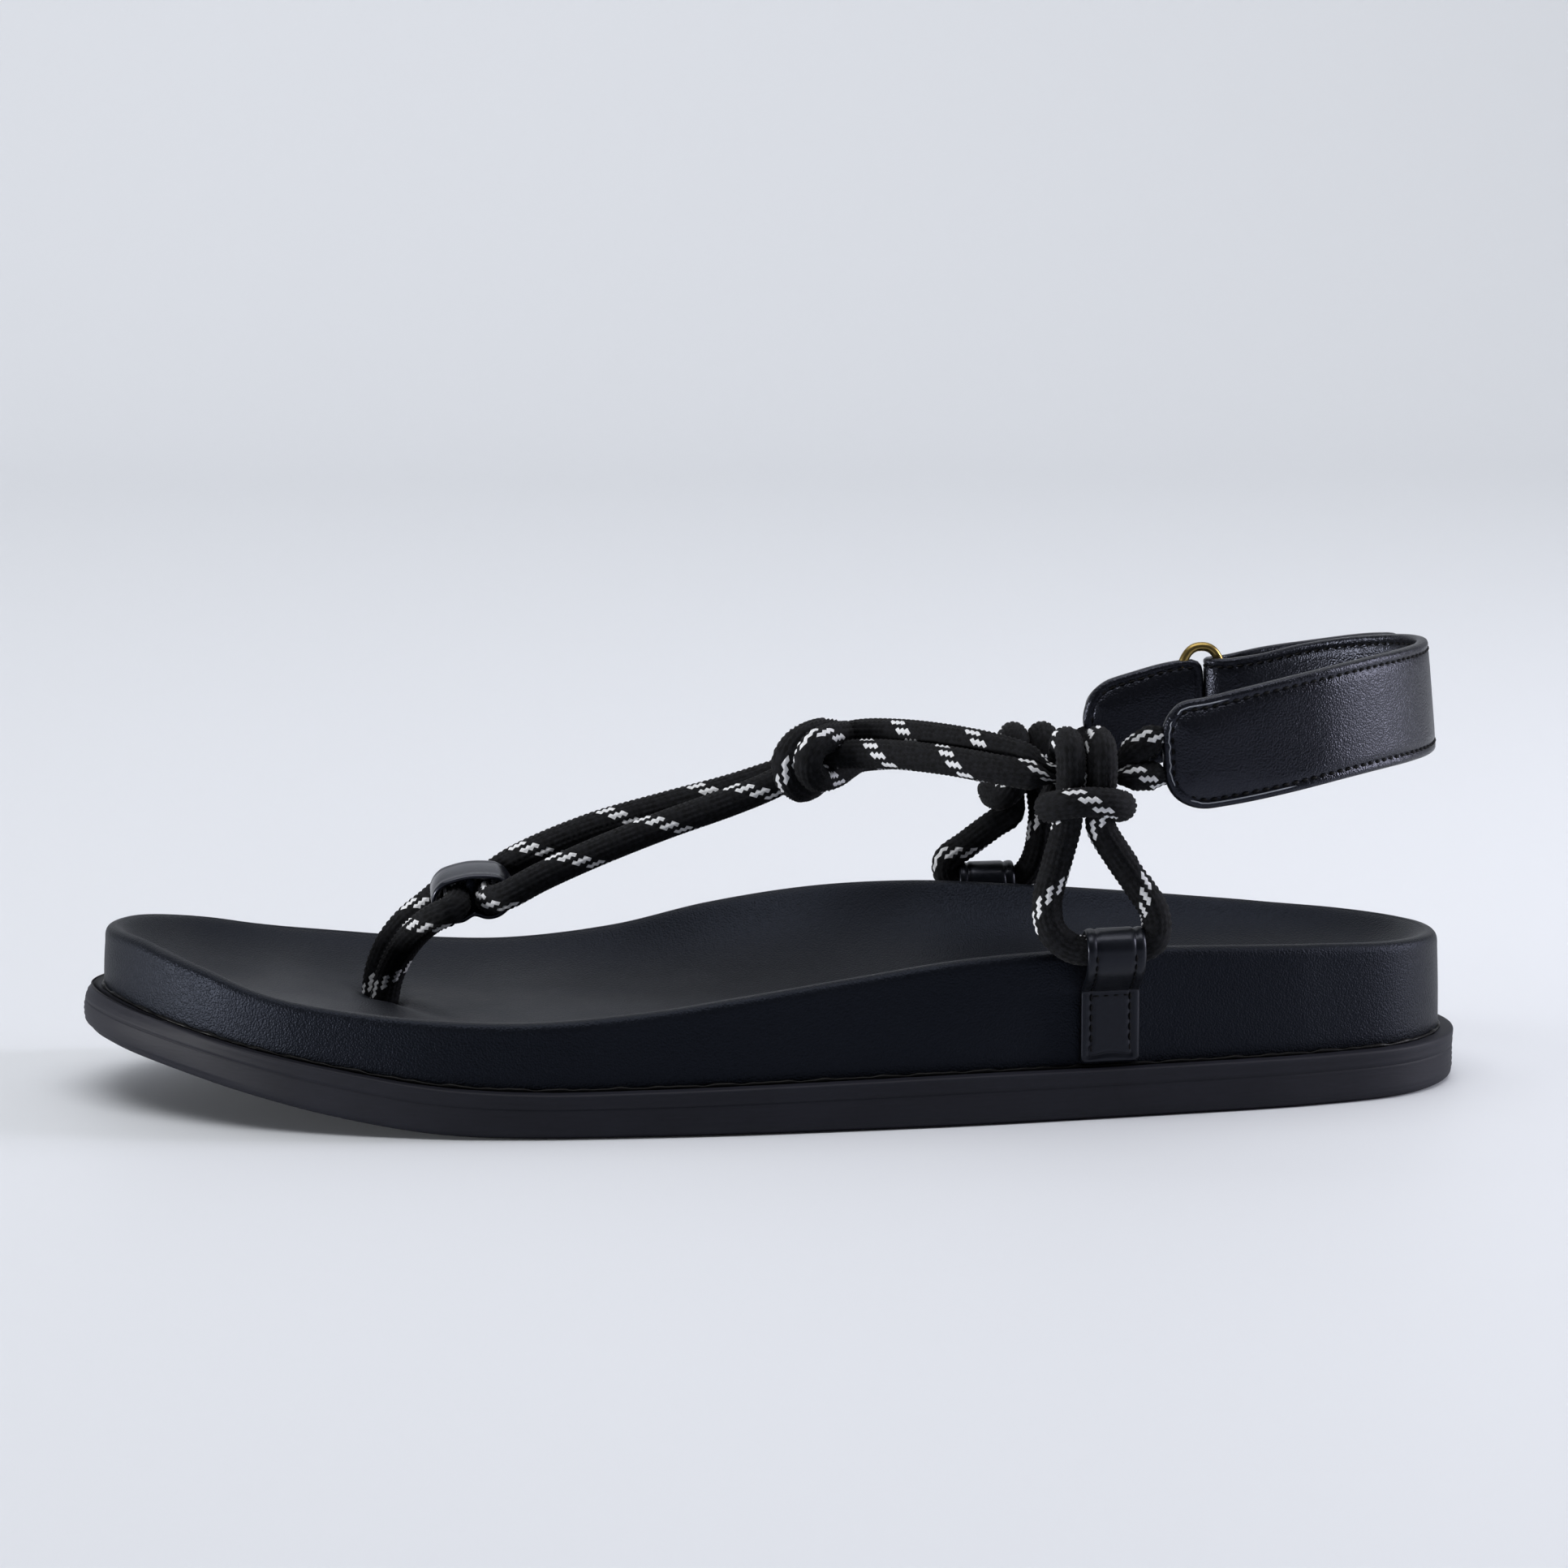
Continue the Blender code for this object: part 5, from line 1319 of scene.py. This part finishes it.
def loop_tab(side):
    """Strip along the section, as wide as the tab, following the wall's own slope."""
    tab_x, _, sewn_z = TABS[side]
    out = outwards(side)
    path, stops = smooth_path(tab_section(side), 0.25)
    length = stops[-1]
    tangent = unit(np.gradient(path, axis=0))
    normal = np.column_stack([0 * tangent[:, 0], tangent[:, 2], -tangent[:, 1]])

    def read(values, s):
        return np.stack([np.interp(s, stops, column) for column in values.T], axis=-1)

    def carry(grid):
        s, h, d = grid[..., 0], grid[..., 1], grid[..., 2]
        section = read(path, s) + read(normal, s) * d[..., None]
        x = tab_x + h
        return np.stack([x, wall_y(side, x) + out * section[..., 1], section[..., 2]], axis=-1)

    outline = round_rectangle(length, TAB_WIDTH, TAB_CORNERS)
    plate(f"loop_tab_{side}_sewn", outline, (TAB_FAN_AT, length - TAB_FAN_AT), TAB_COUNTS, TAB_THICK,
          carry, TAB_LEATHER, TAB_CHANNEL, None, [f"loop_tab_{side}"])
    seam = float(np.interp(sewn_z - TAB_SEAM_DROP, path[:60, 2], stops[:60]))
    half, top = TAB_SEAM_HALF, seam + TAB_SEAM_ABOVE
    for word, rows in (
        ("front", [(TAB_CHANNEL, -half), (10.0, -half), (top, -half)]),
        ("rear", [(TAB_CHANNEL, half), (10.0, half), (top, half)]),
        ("across", [(seam, -half), (seam, 0.0), (seam, half)]),
    ):
        sewn_row(f"loop_tab_{side}_stitches_{word}", carry, np.array(rows), 0.5, 1, *TAB_STITCHES)
    print(side, "tab: strip of", round(length, 1), "by", TAB_WIDTH, "mm")


loop_tab("lateral")
loop_tab("medial")

# %% [markdown]
# ## Toe keeper
# A leather sleeve holds the toe post's bight against the instep's bight. Its section is a
# figure of eight lying down: two half rounds with a flat top and a pinched underside, where
# the leather is sewn together between the ropes. A swept curve would give the tube with sharp
# mouths. Here a section of the leather, flat with round ends, is carried round the figure of
# eight, so the mouths are round and a pressed line runs beside each.

# %% Toe keeper's section
KEEPER_MIDDLE = np.array([-56.85, 7.1, 36.6])
KEEPER_AXIS = unit(np.array([0.0, 0.972, 0.236]))
keeper_tilt = unit(np.array([0.992, 0.0, 0.126]))
KEEPER_ACROSS = unit(keeper_tilt - KEEPER_AXIS * (keeper_tilt @ KEEPER_AXIS))
KEEPER_UP = np.cross(KEEPER_ACROSS, KEEPER_AXIS)
KEEPER_UP = KEEPER_UP * np.sign(KEEPER_UP[2])
KEEPER_HALF = 3.9
KEEPER_HALF_THICK = 0.62
PRESSED_AT, PRESSED_WIDTH, PRESSED_DEPTH = 0.62, 0.1, 0.15
LOBE_SPACING = 3.15
LOBE_RADIUS = 4.1
LOBE_SWEEP = np.linspace(0, 173, 14)
FRONT_FROM, REAR_FROM = 112, -105
PINCH, CROWN = -3.1, 4.5


def figure_eight():
    """Closed curve: round lobe, pinch, round lobe, and the crown of a nearly flat top."""

    def lobe(middle, first):
        a = np.radians(first + LOBE_SWEEP)
        return np.column_stack([middle + LOBE_RADIUS * np.cos(a), LOBE_RADIUS * np.sin(a)])

    front, rear = lobe(-LOBE_SPACING, FRONT_FROM), lobe(LOBE_SPACING, REAR_FROM)
    rows = np.vstack([front, [[0.0, PINCH]], rear, [[0.0, CROWN]]])
    curve, _ = smooth_path(np.column_stack([rows, 0 * rows[:, 0]]), 0.35, closed=True)
    return curve[:, :2]


# %% Toe keeper
def toe_keeper():
    """Sleeve: the leather's own section goes out and back along the axis, with a as the place
    along it and d as the depth, both a squared-off circle, at every point of the eight.
    """
    base = figure_eight()
    forward = unit(np.roll(base, -1, axis=0) - np.roll(base, 1, axis=0))
    outward = np.column_stack([forward[:, 1], -forward[:, 0]])
    outward *= np.sign((outward * base).sum(axis=1).mean())
    turn = np.linspace(0, 2 * math.pi, 41)[:-1]
    rows = []
    for a, d in zip(squared(np.cos(turn), 0.35), squared(np.sin(turn), 0.7)):
        pressed = math.exp(-((abs(a) - PRESSED_AT) / PRESSED_WIDTH) ** 2) if d > 0 else 0.0
        spot = base + outward * (KEEPER_HALF_THICK * d - PRESSED_DEPTH * pressed)
        rows.append(KEEPER_MIDDLE + KEEPER_AXIS * a * KEEPER_HALF
                    + KEEPER_ACROSS * spot[:, :1] + KEEPER_UP * spot[:, 1:])
    return skin("toe_keeper_sleeve", np.stack(rows), KEEPER_LEATHER,
                closed_rows=True, replaced=["toe_keeper"])


toe_keeper()

# %% [markdown]
# ## Keeper web
# Between the two ropes the sleeve's top and its pinched underside are sewn together through a
# leaf of leather, which closes the view between the ropes. It is hardly seen, so a flat leaf
# with rounded corners is enough.

# %% Keeper web
WEB_HALF_WIDE, WEB_HALF_HIGH, WEB_HALF_THICK = 2.8, 3.7, 0.85
WEB_LIFT = 0.5
WEB_SQUARENESS = 0.4
WEB_CORNERS = 24


def keeper_web():
    """Squared-off circle of half the width and half the height, moved across by half the
    thickness each way, and closed by a pole in the middle of either face.
    """
    turn = 2 * math.pi * np.arange(WEB_CORNERS) / WEB_CORNERS
    wide = WEB_HALF_WIDE * squared(np.cos(turn), WEB_SQUARENESS)
    high = WEB_HALF_HIGH * squared(np.sin(turn), WEB_SQUARENESS)
    middle = KEEPER_MIDDLE + KEEPER_UP * WEB_LIFT
    ring = middle + KEEPER_AXIS * wide[:, None] + KEEPER_UP * high[:, None]
    pole = np.repeat(middle[None], WEB_CORNERS, 0)
    shift = KEEPER_ACROSS * WEB_HALF_THICK
    rows = [pole - shift, ring - shift, ring + shift, pole + shift]
    return skin("keeper_web", np.stack(rows), WRAP_LEATHER)


keeper_web()

# %% [markdown]
# ## Floor and light
# The photograph has a pale blue-grey sweep with a soft shadow under the toe. A plane and a
# white world would lose that shadow and show a horizon, so the floor is a sheet that curves up
# behind the sandal. Light comes from a large box overhead, one for the sweep behind, a low one
# beyond the toe that shows the wall and the sole there, and a narrow one behind the heel that
# draws a soft band down the strap.

# %% Floor
FLOOR_COLOUR = "#D5D8DD"
FLOOR_FRONT = -3000.0
SWEEP_START = 1400.0
SWEEP_RADIUS = 900.0
SWEEP_TOP = 3500.0
SWEEP_HALF = 3500.0


def floor_sweep():
    """Flat floor, then a quarter circle, then an upright wall, as one sheet."""
    flat = [(FLOOR_FRONT, 0.0), (0.0, 0.0), (SWEEP_START, 0.0)]
    a = np.linspace(0, math.pi / 2, 25)[1:]
    arc = np.column_stack([SWEEP_START + SWEEP_RADIUS * np.sin(a), SWEEP_RADIUS * (1 - np.cos(a))])
    rows = np.vstack([flat, arc, [(SWEEP_START + SWEEP_RADIUS, SWEEP_TOP)]])
    left, right = (np.column_stack([np.full(len(rows), x), rows]) for x in (-SWEEP_HALF, SWEEP_HALF))
    points = np.vstack([left, right]) * MM
    n = len(rows)
    i = np.arange(n - 1)
    quads = np.stack([i, i + n, i + n + 1, i + 1], axis=1)
    mesh = bpy.data.meshes.new("floor_sweep")
    mesh.from_pydata(points, [], quads)
    mesh.polygons.foreach_set("use_smooth", np.ones(len(quads), bool))
    material, _, shader = new_material("matt_paper_sweep", {
        "Base Color": linear(FLOOR_COLOUR), "Roughness": 0.55})
    mesh.materials.append(material)
    sweep = bpy.data.objects.new("floor_sweep", mesh)
    bpy.context.scene.collection.objects.link(sweep)


floor_sweep()


# %% Light
def soft_box(name, place, target, size, power, colour):
    """Rectangular area light at a place in metres, aimed at the target."""
    light = bpy.data.lights.new(name, "AREA")
    light.shape = "RECTANGLE"
    light.size, light.size_y = size
    light.energy = power
    light.color = linear(colour)[:3]
    lamp = bpy.data.objects.new(name, light)
    bpy.context.scene.collection.objects.link(lamp)
    lamp.location = place
    away = unit(np.array(place) - np.array(target))
    yaw = math.atan2(away[0], -away[1])
    lamp.rotation_euler = (math.acos(away[2]), 0.0, yaw)


soft_box("overhead_box", (0.0, 0.5, 2.6), (0.0, 0.4, 0.0), (4.0, 3.4), 43.0, "#FFFFFF")
soft_box("sweep_box", (0.0, -0.6, 3.0), (0.0, 2.2, 0.9), (3.0, 1.2), 55.0, "#FFFFFF")
soft_box("toe_box", (-1.6, -0.2, 0.1), (-0.12, 0.0, 0.02), (0.7, 0.18), 23.0, "#FFFFFF")
soft_box("heel_box", (1.2, -0.05, 0.42), (0.1, -0.02, 0.07), (0.18, 0.6), 12.0, "#F6F4FF")

world = bpy.data.worlds.new("studio")
bpy.context.scene.world = world
world.use_nodes = True
world.node_tree.nodes["Background"].inputs["Color"].default_value = linear("#E4E8F2")
world.node_tree.nodes["Background"].inputs["Strength"].default_value = 0.1
bpy.context.scene.view_settings.view_transform = "Standard"
print("lights:", [lamp.name for lamp in bpy.data.lights])
